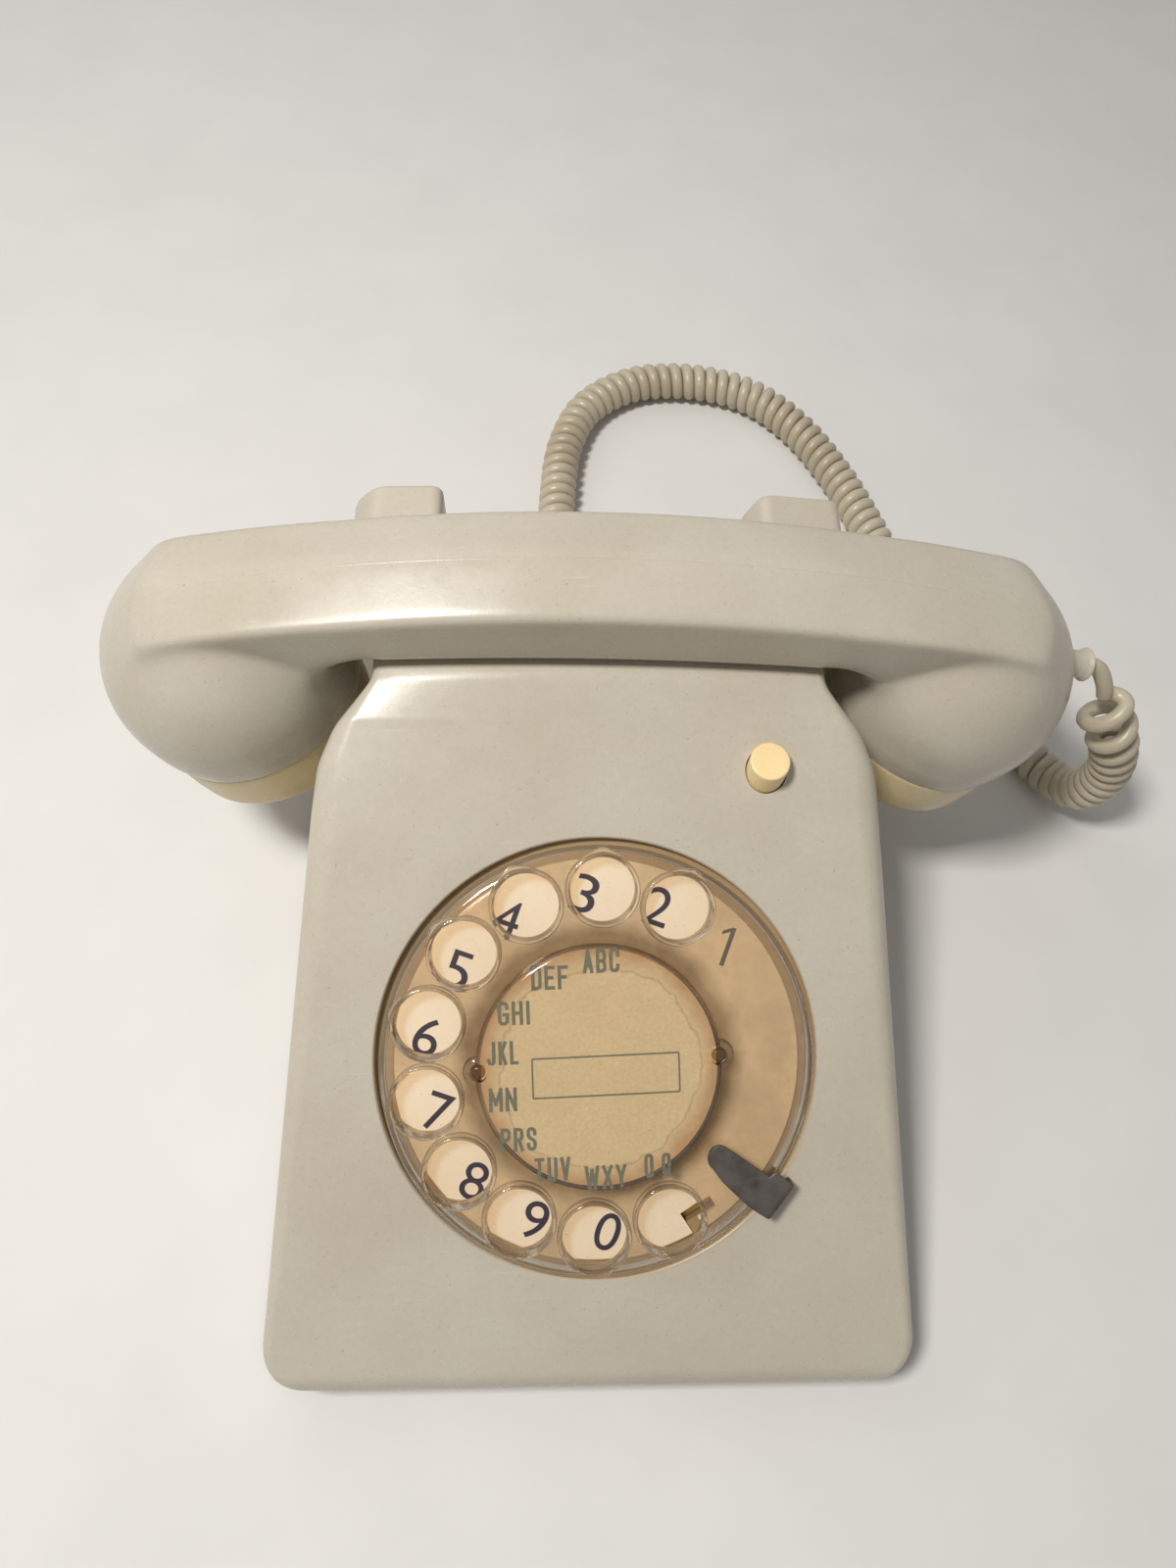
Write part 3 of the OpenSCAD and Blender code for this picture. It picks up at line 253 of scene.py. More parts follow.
def tube(rings: np.ndarray) -> Surface:
    """Surface through rings of points, an array of ring by point by axis, closed by a fan at each end.

    Args:
        rings: The rings, with the same number of points in each.

    Returns:
        Points and quads. Each end fan meets at the middle of its ring.
    """
    m, n = rings.shape[:2]
    middles = rings[[0, -1]].mean(1)
    points = np.concatenate([rings.reshape(-1, 3), middles])
    i = np.arange(n)
    first = np.stack([(i + 1) % n, i, i * 0 + m * n, i * 0 + m * n], -1)
    last = np.stack([i, (i + 1) % n, i * 0 + m * n + 1, i * 0 + m * n + 1], -1)
    last[:, :2] += (m - 1) * n
    return points, np.concatenate([grid_quads(m, n), first, last])


def prism(outline: np.ndarray, low: float, high: float) -> Surface:
    """Upright solid over a closed star-shaped outline, from one height to another."""
    ring = np.column_stack([outline, np.zeros(len(outline))])
    return tube(np.stack([ring + [0, 0, low], ring + [0, 0, high]]))


def cylinder(r: float, low: float, high: float) -> np.ndarray:
    """Profile of a plain cylinder of radius r from one height to another."""
    return np.array([(0, low), (r, low), (r, high), (0, high)])


def cos_sin(degrees: float) -> np.ndarray:
    """Cosine and sine of an angle in degrees."""
    return np.array([math.cos(math.radians(degrees)), math.sin(math.radians(degrees))])


def turn(axis: str, degrees: float) -> np.ndarray:
    """Matrix that turns points by an angle about an axis named X, Y or Z."""
    c, s = cos_sin(degrees)
    i, j = {"X": (1, 2), "Y": (2, 0), "Z": (0, 1)}[axis]
    m = np.eye(3)
    m[i, i], m[i, j], m[j, i], m[j, j] = c, -s, s, c
    return m


def lettering(text: str, width: float, height: float) -> Print:
    """Flat letters as a mesh, centred, set to a width and a height.

    Args:
        text: Letters or digits.
        width: Width over all of them in millimetres.
        height: Height of the tallest in millimetres.

    Returns:
        Points in the XY plane, and faces.
    """
    curve = bpy.data.curves.new("lettering", "FONT")
    curve.body, curve.size, curve.resolution_u, curve.space_character = text, 1.0, 8, 1.2
    holder = bpy.data.objects.new("lettering", curve)
    bpy.context.scene.collection.objects.link(holder)
    graph = bpy.context.evaluated_depsgraph_get()
    mesh = bpy.data.meshes.new_from_object(holder.evaluated_get(graph))
    points = np.empty(len(mesh.vertices) * 3)
    mesh.vertices.foreach_get("co", points)
    points = points.reshape(-1, 3)
    faces = [list(p.vertices) for p in mesh.polygons]
    bpy.data.objects.remove(holder)
    bpy.data.curves.remove(curve)
    bpy.data.meshes.remove(mesh)
    low, high = points.min(0), points.max(0)
    points = (points - (low + high) / 2) / (high - low + [0, 0, 1])
    return points * [width, height, 1], faces


ROUND = [(1, .76), (.95, .91), (.77, .985), (.5, 1), (.23, .985), (.05, .91), (0, .76), (0, .24), (.05, .09),
         (.23, .015), (.5, 0), (.77, .015), (.95, .09), (1, .24)]
BOWL = [(0, 1), (.6, 1), (.9, .95), (1, .82), (1, .68), (.9, .54), (.6, .49), (0, .49)]
# Strokes of each letter in a box of width 1 and height 1
STROKES = {
    "A": [[(0, 0), (.5, 1), (1, 0)], [(.2, .3), (.8, .3)]], "B": [[(0, 0), (0, 1)], BOWL,
          [(.6, .49), (.9, .44), (1, .32), (1, .16), (.9, .05), (.6, 0), (0, 0)]], "C": [ROUND],
    "D": [[(0, 0), (0, 1), (.5, 1), (.9, .94), (1, .8), (1, .2), (.9, .06), (.5, 0), (0, 0)]],
    "E": [[(1, 1), (0, 1), (0, 0), (1, 0)], [(0, .51), (.8, .51)]],
    "F": [[(1, 1), (0, 1), (0, 0)], [(0, .51), (.8, .51)]],
    "G": [ROUND + [(1, .44), (.6, .44)]], "H": [[(0, 0), (0, 1)], [(1, 0), (1, 1)], [(0, .5), (1, .5)]],
    "I": [[(.5, 0), (.5, 1)]], "J": [[(1, 1), (1, .24), (.95, .09), (.75, .01), (.45, 0), (.15, .04), (0, .16)]],
    "K": [[(0, 0), (0, 1)], [(1, 1), (.1, .44)], [(.35, .58), (1, 0)]], "L": [[(0, 1), (0, 0), (1, 0)]],
    "M": [[(0, 0), (0, 1), (.5, .3), (1, 1), (1, 0)]], "N": [[(0, 0), (0, 1), (1, 0), (1, 1)]],
    "O": [ROUND + ROUND[:2]],
    "P": [[(0, 0), (0, 1)], BOWL], "Q": [ROUND + ROUND[:2], [(.6, .22), (1, -.02)]],
    "R": [[(0, 0), (0, 1)], BOWL, [(.5, .49), (1, 0)]],
    "S": [ROUND[:7] + [(.07, .62), (.3, .54), (.7, .46), (.93, .38)] + ROUND[:6:-1]],
    "T": [[(0, 1), (1, 1)], [(.5, 1), (.5, 0)]],
    "U": [[(0, 1)] + ROUND[7:] + [(1, 1)]],
    "V": [[(0, 1), (.5, 0), (1, 1)]], "W": [[(0, 1), (.25, 0), (.5, .85), (.75, 0), (1, 1)]],
    "X": [[(0, 0), (1, 1)], [(0, 1), (1, 0)]], "Y": [[(0, 1), (.5, .45), (1, 1)], [(.5, .45), (.5, 0)]], " ": []}


def stroke(line: np.ndarray, weight: float) -> Print:
    """Flat band along a line of points, with square ends and mitred corners.

    At a corner between the normals n and m the band's edge lies along (n + m) / (1 + n.m), held to 1.4.

    Args:
        line: Points of the middle line.
        weight: Width of the band.

    Returns:
        Points in the XY plane, and faces.
    """
    run = np.diff(line, axis=0)
    run /= np.linalg.norm(run, axis=1, keepdims=True)
    line = line.copy()
    line[0] -= run[0] * weight / 2
    line[-1] += run[-1] * weight / 2
    normal = np.column_stack([-run[:, 1], run[:, 0]])
    before, after = np.vstack([normal[:1], normal]), np.vstack([normal, normal[-1:]])
    mitre = (before + after) / np.maximum(1 + (before * after).sum(1, keepdims=True), 0.2)
    mitre /= np.maximum(np.linalg.norm(mitre, axis=1, keepdims=True) / 1.4, 1)
    edges = np.concatenate([line + mitre * weight / 2, line - mitre * weight / 2])
    n = len(line)
    points = np.column_stack([edges, np.zeros(2 * n)])
    return points, [[n + i, n + i + 1, i + 1, i] for i in range(n - 1)]


def bold_word(text: str, width: float, height: float, weight: float) -> list[Print]:
    """Condensed bold letters as flat bands, centred, each stroke a hair above the one before.

    A line that turns back sharply, as at the foot of a V, is split there.

    Args:
        text: Letters.
        width: Width over all of them in millimetres.
        height: Height of the letters in millimetres.
        weight: Width of the strokes in millimetres.

    Returns:
        Points and faces of each stroke.
    """
    shares = np.array([{"I": 0.4, "W": 1.35, "M": 1.2, " ": 0.3}.get(c, 1.0) for c in text])
    gap = 0.62
    wide = (width - gap * (len(text) - 1)) / shares.sum() * shares
    left = np.concatenate([[0], np.cumsum(wide + gap)])[:-1] - width / 2
    out = []
    for letter, x, w in zip(text, left, wide):
        for line in STROKES[letter]:
            middle = np.array(line) * [w - weight, height - weight] + [x + weight / 2, (weight - height) / 2]
            run = np.diff(middle, axis=0)
            run /= np.linalg.norm(run, axis=1, keepdims=True)
            sharp = np.flatnonzero((run[1:] * run[:-1]).sum(1) < -0.3) + 1
            for first, last in zip([0, *sharp], [*sharp, len(middle) - 1]):
                points, faces = stroke(middle[first:last + 1], weight)
                out.append((points + [0, 0, 0.006 * (len(out) % 4)], faces))
    return out


def printed(name: str, parts: list[Print]) -> Piece:
    """Joins flat prints into one mesh object.

    Args:
        name: Name of the piece.
        parts: Points in millimetres and faces of each print.

    Returns:
        The new object.
    """
    starts = np.cumsum([0] + [len(p) for p, _ in parts])
    points = np.concatenate([p for p, _ in parts])
    faces = [[int(start) + i for i in face] for start, (_, part) in zip(starts, parts) for face in part]
    mesh = bpy.data.meshes.new(name)
    mesh.from_pydata((points * MM).tolist(), [], faces)
    mesh.update()
    obj = bpy.data.objects.new(name, mesh)
    bpy.context.scene.collection.objects.link(obj)
    return obj


# --- Finishes ---------------------------------------------------------------------------------------


def linear(code: str) -> tuple[float, float, float, float]:
    """Linear colour of an sRGB hex value such as #C0B8A4."""
    parts = [int(code[i:i + 2], 16) / 255 for i in (1, 3, 5)]
    return (*[c / 12.92 if c <= 0.04045 else ((c + 0.055) / 1.055) ** 2.4 for c in parts], 1.0)


def add_node(tree: Tree, kind: str, inputs: dict | None = None, **settings) -> Node:
    """Adds a node with its settings, input values and links.

    Args:
        tree: The material's node tree.
        kind: Blender's name for the node.
        inputs: Values or output sockets, by the name or number of the input.
        **settings: Properties of the node.

    Returns:
        The new node.
    """
    node = tree.nodes.new(kind)
    for key, value in settings.items():
        setattr(node, key, value)
    for key, value in (inputs or {}).items():
        if isinstance(value, Socket):
            tree.links.new(value, node.inputs[key])
        else:
            node.inputs[key].default_value = value
    return node


def noise(tree: Tree, where: Socket, size_mm: float, detail: float,
          stretch: tuple[float, float, float] = (1, 1, 1)) -> Socket:
    """Noise whose features are about size_mm across.

    Args:
        tree: The material's node tree.
        where: Coordinates in metres.
        size_mm: Size of a feature in millimetres.
        detail: Number of finer layers.
        stretch: How much the pattern is squeezed along each axis.

    Returns:
        The noise, from 0 to 1 around 0.5.
    """
    mapped = add_node(tree, "ShaderNodeMapping", {"Vector": where, "Scale": stretch})
    found = add_node(tree, "ShaderNodeTexNoise", {
        "Vector": mapped.outputs[0], "Scale": 1 / (size_mm * MM), "Detail": detail, "Roughness": 0.55})
    return found.outputs["Fac"]


def span(tree: Tree, value: Socket, low: float, high: float,
         out_low: float = 0.0, out_high: float = 1.0) -> Socket:
    """Maps a value between low and high to the range from out_low to out_high, held at its ends."""
    return add_node(tree, "ShaderNodeMapRange", {
        "Value": value, "From Min": low, "From Max": high, "To Min": out_low, "To Max": out_high}).outputs[0]


def blend_colour(tree: Tree, share: Socket, first: object, second: object,
                 how: str = "MIX") -> Socket:
    """Mixes two colours by a share; how is Blender's name for the mix."""
    node = add_node(tree, "ShaderNodeMix", {0: share, 6: first, 7: second}, data_type="RGBA", blend_type=how)
    return node.outputs[2]


def maths(tree: Tree, how: str, *values: object) -> Socket:
    """Sum, product or other arithmetic of numbers and sockets; how is Blender's name for it."""
    return add_node(tree, "ShaderNodeMath", dict(enumerate(values)), operation=how).outputs[0]


def bump(tree: Tree, height: Socket, depth_mm: float) -> Socket:
    """Shading normal of a surface raised by a height from 0 to 1, times a depth in millimetres."""
    return add_node(tree, "ShaderNodeBump", {"Height": height, "Strength": 1.0, "Distance": depth_mm * MM}).outputs[0]


@dataclass(frozen=True)
class Finish:
    """A finish that builds its own material in the piece's own coordinates."""

    name: str

    def shade(self, tree: Tree, where: Socket) -> Node:
        """Builds the shader.

        Args:
            tree: The material's node tree.
            where: Coordinates in metres.

        Returns:
            The node whose first output is the surface.
        """
        raise NotImplementedError

    def material(self) -> bpy.types.Material:
        """Makes the material."""
        material = bpy.data.materials.new(self.name)
        material.use_nodes = True
        tree = material.node_tree
        tree.nodes.clear()
        output = add_node(tree, "ShaderNodeOutputMaterial")
        shader = self.shade(tree, add_node(tree, "ShaderNodeTexCoord").outputs["Object"])
        tree.links.new(shader.outputs[0], output.inputs[0])
        return material


@dataclass(frozen=True)
class MouldedPlastic(Finish):
    """Injection-moulded plastic: two close tones, a fine surface texture, specks of dirt and hair scratches."""

    tone: str
    worn_tone: str
    roughness: float = 0.42
    ior: float = 1.53
    patch_mm: float = 38.0
    grain_mm: float = 0.9
    grain_depth_mm: float = 0.012
    dirt: str = "#5E5238"
    dirt_share: float = 0.4
    scratches: float = 0.14

    def shade(self, tree: Tree, where: Socket) -> Node:
        """Builds the finish: patches of tone, then specks, then scratches that change colour and gloss."""
        patches = span(tree, noise(tree, where, self.patch_mm, 4.0), 0.35, 0.68)
        colour = blend_colour(tree, patches, linear(self.tone), linear(self.worn_tone))
        mottle = span(tree, noise(tree, where, 1.4, 5.0), 0.3, 0.7, 0.0, 0.1)
        colour = blend_colour(tree, mottle, colour, linear(self.worn_tone), "MULTIPLY")
        specks = span(tree, noise(tree, where, 0.6, 1.0), 0.70, 0.78, 0.0, self.dirt_share)
        colour = blend_colour(tree, specks, colour, linear(self.dirt))
        hairs = [noise(tree, where, 0.55, 0.0, s) for s in ((0.9, 0.03, 0.9), (0.04, 0.8, 0.8))]
        hair = maths(tree, "MAXIMUM", hairs[0], hairs[1])
        hair = span(tree, hair, 0.815, 0.86, 0.0, self.scratches)
        colour = blend_colour(tree, hair, colour, linear("#DDD8CC"))
        rough = span(tree, noise(tree, where, 9.0, 4.0), 0.3, 0.7, self.roughness - 0.05, self.roughness + 0.07)
        rough = maths(tree, "MULTIPLY_ADD", hair, 0.4, rough)
        grain = bump(tree, noise(tree, where, self.grain_mm, 2.0), self.grain_depth_mm)
        return add_node(tree, "ShaderNodeBsdfPrincipled", {
            "Base Color": colour, "Roughness": rough, "Normal": grain, "IOR": self.ior})


@dataclass(frozen=True)
class ClearAcrylic(Finish):
    """Cast acrylic gone yellow with age: clear, glossy, rubbed and scratched, with patches of grime, painted shade on
    its upright walls and a ring of painted shade round the hub.
    """

    tint: str
    film: str = "#A48C66"
    film_share: float = 0.2
    # Share of painted shade on the upright walls of the collars and holes
    wall_shade_share: float = 0.3
    facing: tuple[float, float, float] = (0.0, -0.4384, 0.8988)
    ior: float = 1.49
    roughness: float = 0.035
    hub: tuple[float, float, float] = (0.0, -34.0, 55.7)
    hub_r: float = 31.5
    hub_fade: float = 4.0
    # Colour and share of a ring of painted shade just outside the hub
    hub_shade_colour: str = "#5C4930"
    hub_shade_share: float = 0.0

    def shade(self, tree: Tree, where: Socket) -> Node:
        """Builds the finish. Shadow and diffuse rays pass straight through, so what lies under is lit once."""
        rubbed = span(tree, noise(tree, where, 6.0, 5.0), 0.45, 0.75, self.roughness, self.roughness + 0.1)
        hair = span(tree, noise(tree, where, 0.6, 0.0, (0.9, 0.03, 0.9)), 0.81, 0.86, 0.0, 0.2)
        rubbed = maths(tree, "ADD", rubbed, hair)
        waves = bump(tree, noise(tree, where, 5.0, 2.0), 0.02)
        shader = add_node(tree, "ShaderNodeBsdfPrincipled", {
            "Base Color": linear(self.tint), "Roughness": rubbed, "IOR": self.ior,
            "Transmission Weight": 1.0, "Normal": waves})
        reach = add_node(tree, "ShaderNodeVectorMath", {
            0: where, 1: [c * MM for c in self.hub]}, operation="DISTANCE").outputs["Value"]
        reach = maths(tree, "MULTIPLY_ADD", noise(tree, where, 9.0, 3.0), 4.0 * MM, reach)
        # Mask of the ring of painted shade round the hub
        hub = span(tree, reach, (self.hub_r + self.hub_fade) * MM, self.hub_r * MM)
        # Diffuse layer: the grime film's colour, turning to the painted shade's colour in the hub ring
        grime_and_shade = add_node(tree, "ShaderNodeBsdfDiffuse", {
            "Color": blend_colour(tree, hub, linear(self.film), linear(self.hub_shade_colour))})
        patches = span(tree, noise(tree, where, 11.0, 5.0), 0.34, 0.7, 0.2 * self.film_share, self.film_share)
        normal = add_node(tree, "ShaderNodeTexCoord").outputs["Normal"]
        upright = add_node(tree, "ShaderNodeVectorMath", {0: normal, 1: self.facing}, operation="DOT_PRODUCT")
        upright = maths(tree, "ABSOLUTE", upright.outputs["Value"])
        # Upright walls get painted shade, more the further they turn from the face
        wall_shade = span(tree, upright, 0.75, 0.15, 0.0, self.wall_shade_share)
        patches = maths(tree, "ADD", patches, wall_shade)
        # The hub ring of painted shade is added to the grime patches
        patches = maths(tree, "MULTIPLY_ADD", hub, self.hub_shade_share, patches)
        filmed_and_shaded = add_node(tree, "ShaderNodeMixShader", {0: patches, 1: shader.outputs[0], 2: grime_and_shade.outputs[0]})
        clear = add_node(tree, "ShaderNodeBsdfTransparent", {"Color": linear(self.tint)})
        ray = add_node(tree, "ShaderNodeLightPath")
        passing = maths(tree, "MAXIMUM", ray.outputs["Is Shadow Ray"], ray.outputs["Is Diffuse Ray"])
        return add_node(tree, "ShaderNodeMixShader", {0: passing, 1: filmed_and_shaded.outputs[0], 2: clear.outputs[0]})


@dataclass(frozen=True)
class AgedPaper(Finish):
    """Card stock gone brown: paper fibres, foxing, and water stains that creep in from the rim."""

    tone: str
    fox: str
    stain: str
    middle: tuple[float, float, float]
    radius: float
    tide: str = "#8F5A24"

    def shade(self, tree: Tree, where: Socket) -> Node:
        """Builds the finish: the stain grows from the rim, by distance from the card's middle plus noise."""
        where = add_node(tree, "ShaderNodeMapping", {
            "Vector": where, "Location": [-c * MM for c in self.middle]}, vector_type="POINT").outputs[0]
        fibres = span(tree, noise(tree, where, 0.8, 6.0), 0.35, 0.7)
        colour = blend_colour(tree, fibres, linear(self.tone), linear(self.fox))
        cloud = span(tree, noise(tree, where, 9.0, 3.0), 0.4, 0.8, 0.0, 0.25)
        colour = blend_colour(tree, cloud, colour, linear(self.fox))
        reach = add_node(tree, "ShaderNodeVectorMath", {0: where}, operation="LENGTH").outputs["Value"]
        creep = noise(tree, where, 9.0, 4.0)
        edge = maths(tree, "MULTIPLY_ADD", creep, 7.0 * MM, reach)
        stain = span(tree, edge, (self.radius - 0.6) * MM, (self.radius + 3.6) * MM, 0.0, 0.75)
        colour = blend_colour(tree, stain, colour, linear(self.stain))
        tide = span(tree, edge, (self.radius - 0.9) * MM, (self.radius - 0.2) * MM)
        fade = span(tree, edge, (self.radius + 0.1) * MM, (self.radius - 0.2) * MM, 0.0, 0.38)
        ring = maths(tree, "MULTIPLY", tide, fade)
        colour = blend_colour(tree, ring, colour, linear(self.tide))
        grain = bump(tree, noise(tree, where, 0.5, 3.0), 0.02)
        return add_node(tree, "ShaderNodeBsdfPrincipled", {
            "Base Color": colour, "Roughness": 0.82, "Normal": grain})


@dataclass(frozen=True)
class SheetMetal(Finish):
    """Plated, painted or bare metal: brushed lines, tarnish and worn spots."""

    tone: str
    tarnish: str
    metallic: float = 1.0
    roughness: float = 0.38
    brush: tuple[float, float, float] = (1.0, 0.06, 1.0)
    line_mm: float = 0.25

    def shade(self, tree: Tree, where: Socket) -> Node:
        """Builds the finish: brushed lines change the gloss, tarnish changes colour and gloss together."""
        aged = span(tree, noise(tree, where, 7.0, 6.0), 0.42, 0.66)
        colour = blend_colour(tree, aged, linear(self.tone), linear(self.tarnish))
        lines = noise(tree, where, self.line_mm, 1.0, self.brush)
        rough = span(tree, lines, 0.3, 0.7, self.roughness - 0.1, self.roughness + 0.1)
        rough = maths(tree, "MULTIPLY_ADD", aged, 0.14, rough)
        marks = bump(tree, lines, 0.004)
        return add_node(tree, "ShaderNodeBsdfPrincipled", {
            "Base Color": colour, "Roughness": rough, "Normal": marks, "Metallic": self.metallic})


@dataclass(frozen=True)
class Matt(Finish):
    """Rubber, printed ink, phenolic board or wound wire: a dull surface with one running pattern."""

    tone: str
    second: str
    roughness: float = 0.7
    size_mm: float = 1.6
    stretch: tuple[float, float, float] = (1.0, 1.0, 1.0)
    depth_mm: float = 0.02
    metallic: float = 0.0

    def shade(self, tree: Tree, where: Socket) -> Node:
        """Builds the finish from one noise that mixes the tones and raises the surface."""
        pattern = noise(tree, where, self.size_mm, 4.0, self.stretch)
        colour = blend_colour(tree, span(tree, pattern, 0.35, 0.7), linear(self.tone), linear(self.second))
        relief = bump(tree, pattern, self.depth_mm)
        return add_node(tree, "ShaderNodeBsdfPrincipled", {
            "Base Color": colour, "Roughness": self.roughness, "Normal": relief, "Metallic": self.metallic})


# --- Common frames ----------------------------------------------------------------------------------


@dataclass
class Layout:
    """Sizes in millimetres that several sub-assemblies share."""

    base_w: float = 159.0
    base_d: float = 200.0
    lip_h: float = 19.0
    slope: float = 26.0
    deck_depth: float = 62.5
    face_inset: float = 2.0
    strip_run: float = 10.0
    deck_rise: float = 5.7
    deck_half: float = 52.5
    under_r: float = 600.0
    dial_along: float = 73.6
    opening_r: float = 50.8
    stop_a: float = -36.0
    handle_w: float = 29.4
    handle_t: float = 23.3
    rim_z: float = 2.5
    shoulder: float = 15.5
    cup_x: float = 90.0
    cup_drop: float = 45.9
    cup_tilt: float = 15.5
    cup_pitch: float = 8.0

    def __post_init__(self) -> None:
        """Works out the places that follow from the sizes."""
        c, s = cos_sin(self.slope)
        self.front, self.rear = -self.base_d / 2, self.base_d / 2
        self.face_y = self.front + self.face_inset
        self.crease_y = self.rear - self.deck_depth
        self.crease_z = self.lip_h + (self.crease_y - self.face_y) * s / c
        self.shoulder_y = self.crease_y - self.shoulder
        self.deck_y, self.deck_z = self.crease_y + self.strip_run, self.crease_z + self.deck_rise
        self.dial_middle = np.array([0, self.face_y + self.dial_along * c, self.lip_h + self.dial_along * s])
        self.handset_y = self.deck_y + 0.8 + self.handle_w / 2
        self.handle_low = self.deck_z + 0.3
        self.crown_z = self.handle_low + self.handle_t
        self.cup_z = self.crown_z - self.cup_drop
        self.ear_y = self.handset_y + self.handle_w / 2 + 0.8

    def on_dial(self, points: np.ndarray) -> np.ndarray:
        """Moves points from the dial's own frame, Z out of the face, to the telephone's frame."""
        return points @ turn("X", self.slope).T + self.dial_middle

    def cup(self, side: int, points: np.ndarray) -> np.ndarray:
        """Moves points from a cup's frame, Z out towards its cap, to the telephone's frame."""
        m = turn("X", -self.cup_pitch) @ turn("Y", side * (180 + self.cup_tilt))
        return points @ m.T + [side * self.cup_x, self.handset_y, self.cup_z]


def step_in(r: float | np.ndarray, d: np.ndarray) -> np.ndarray:
    """How far a rounded corner of radius r has stepped in at a distance d from the end: r - sqrt(r^2-(r-d)^2)."""
    gap = np.clip(r - d, 0, r)
    return r - np.sqrt(np.maximum(r * r - gap * gap, 0))


# --- Housing ----------------------------------------------------------------------------------------


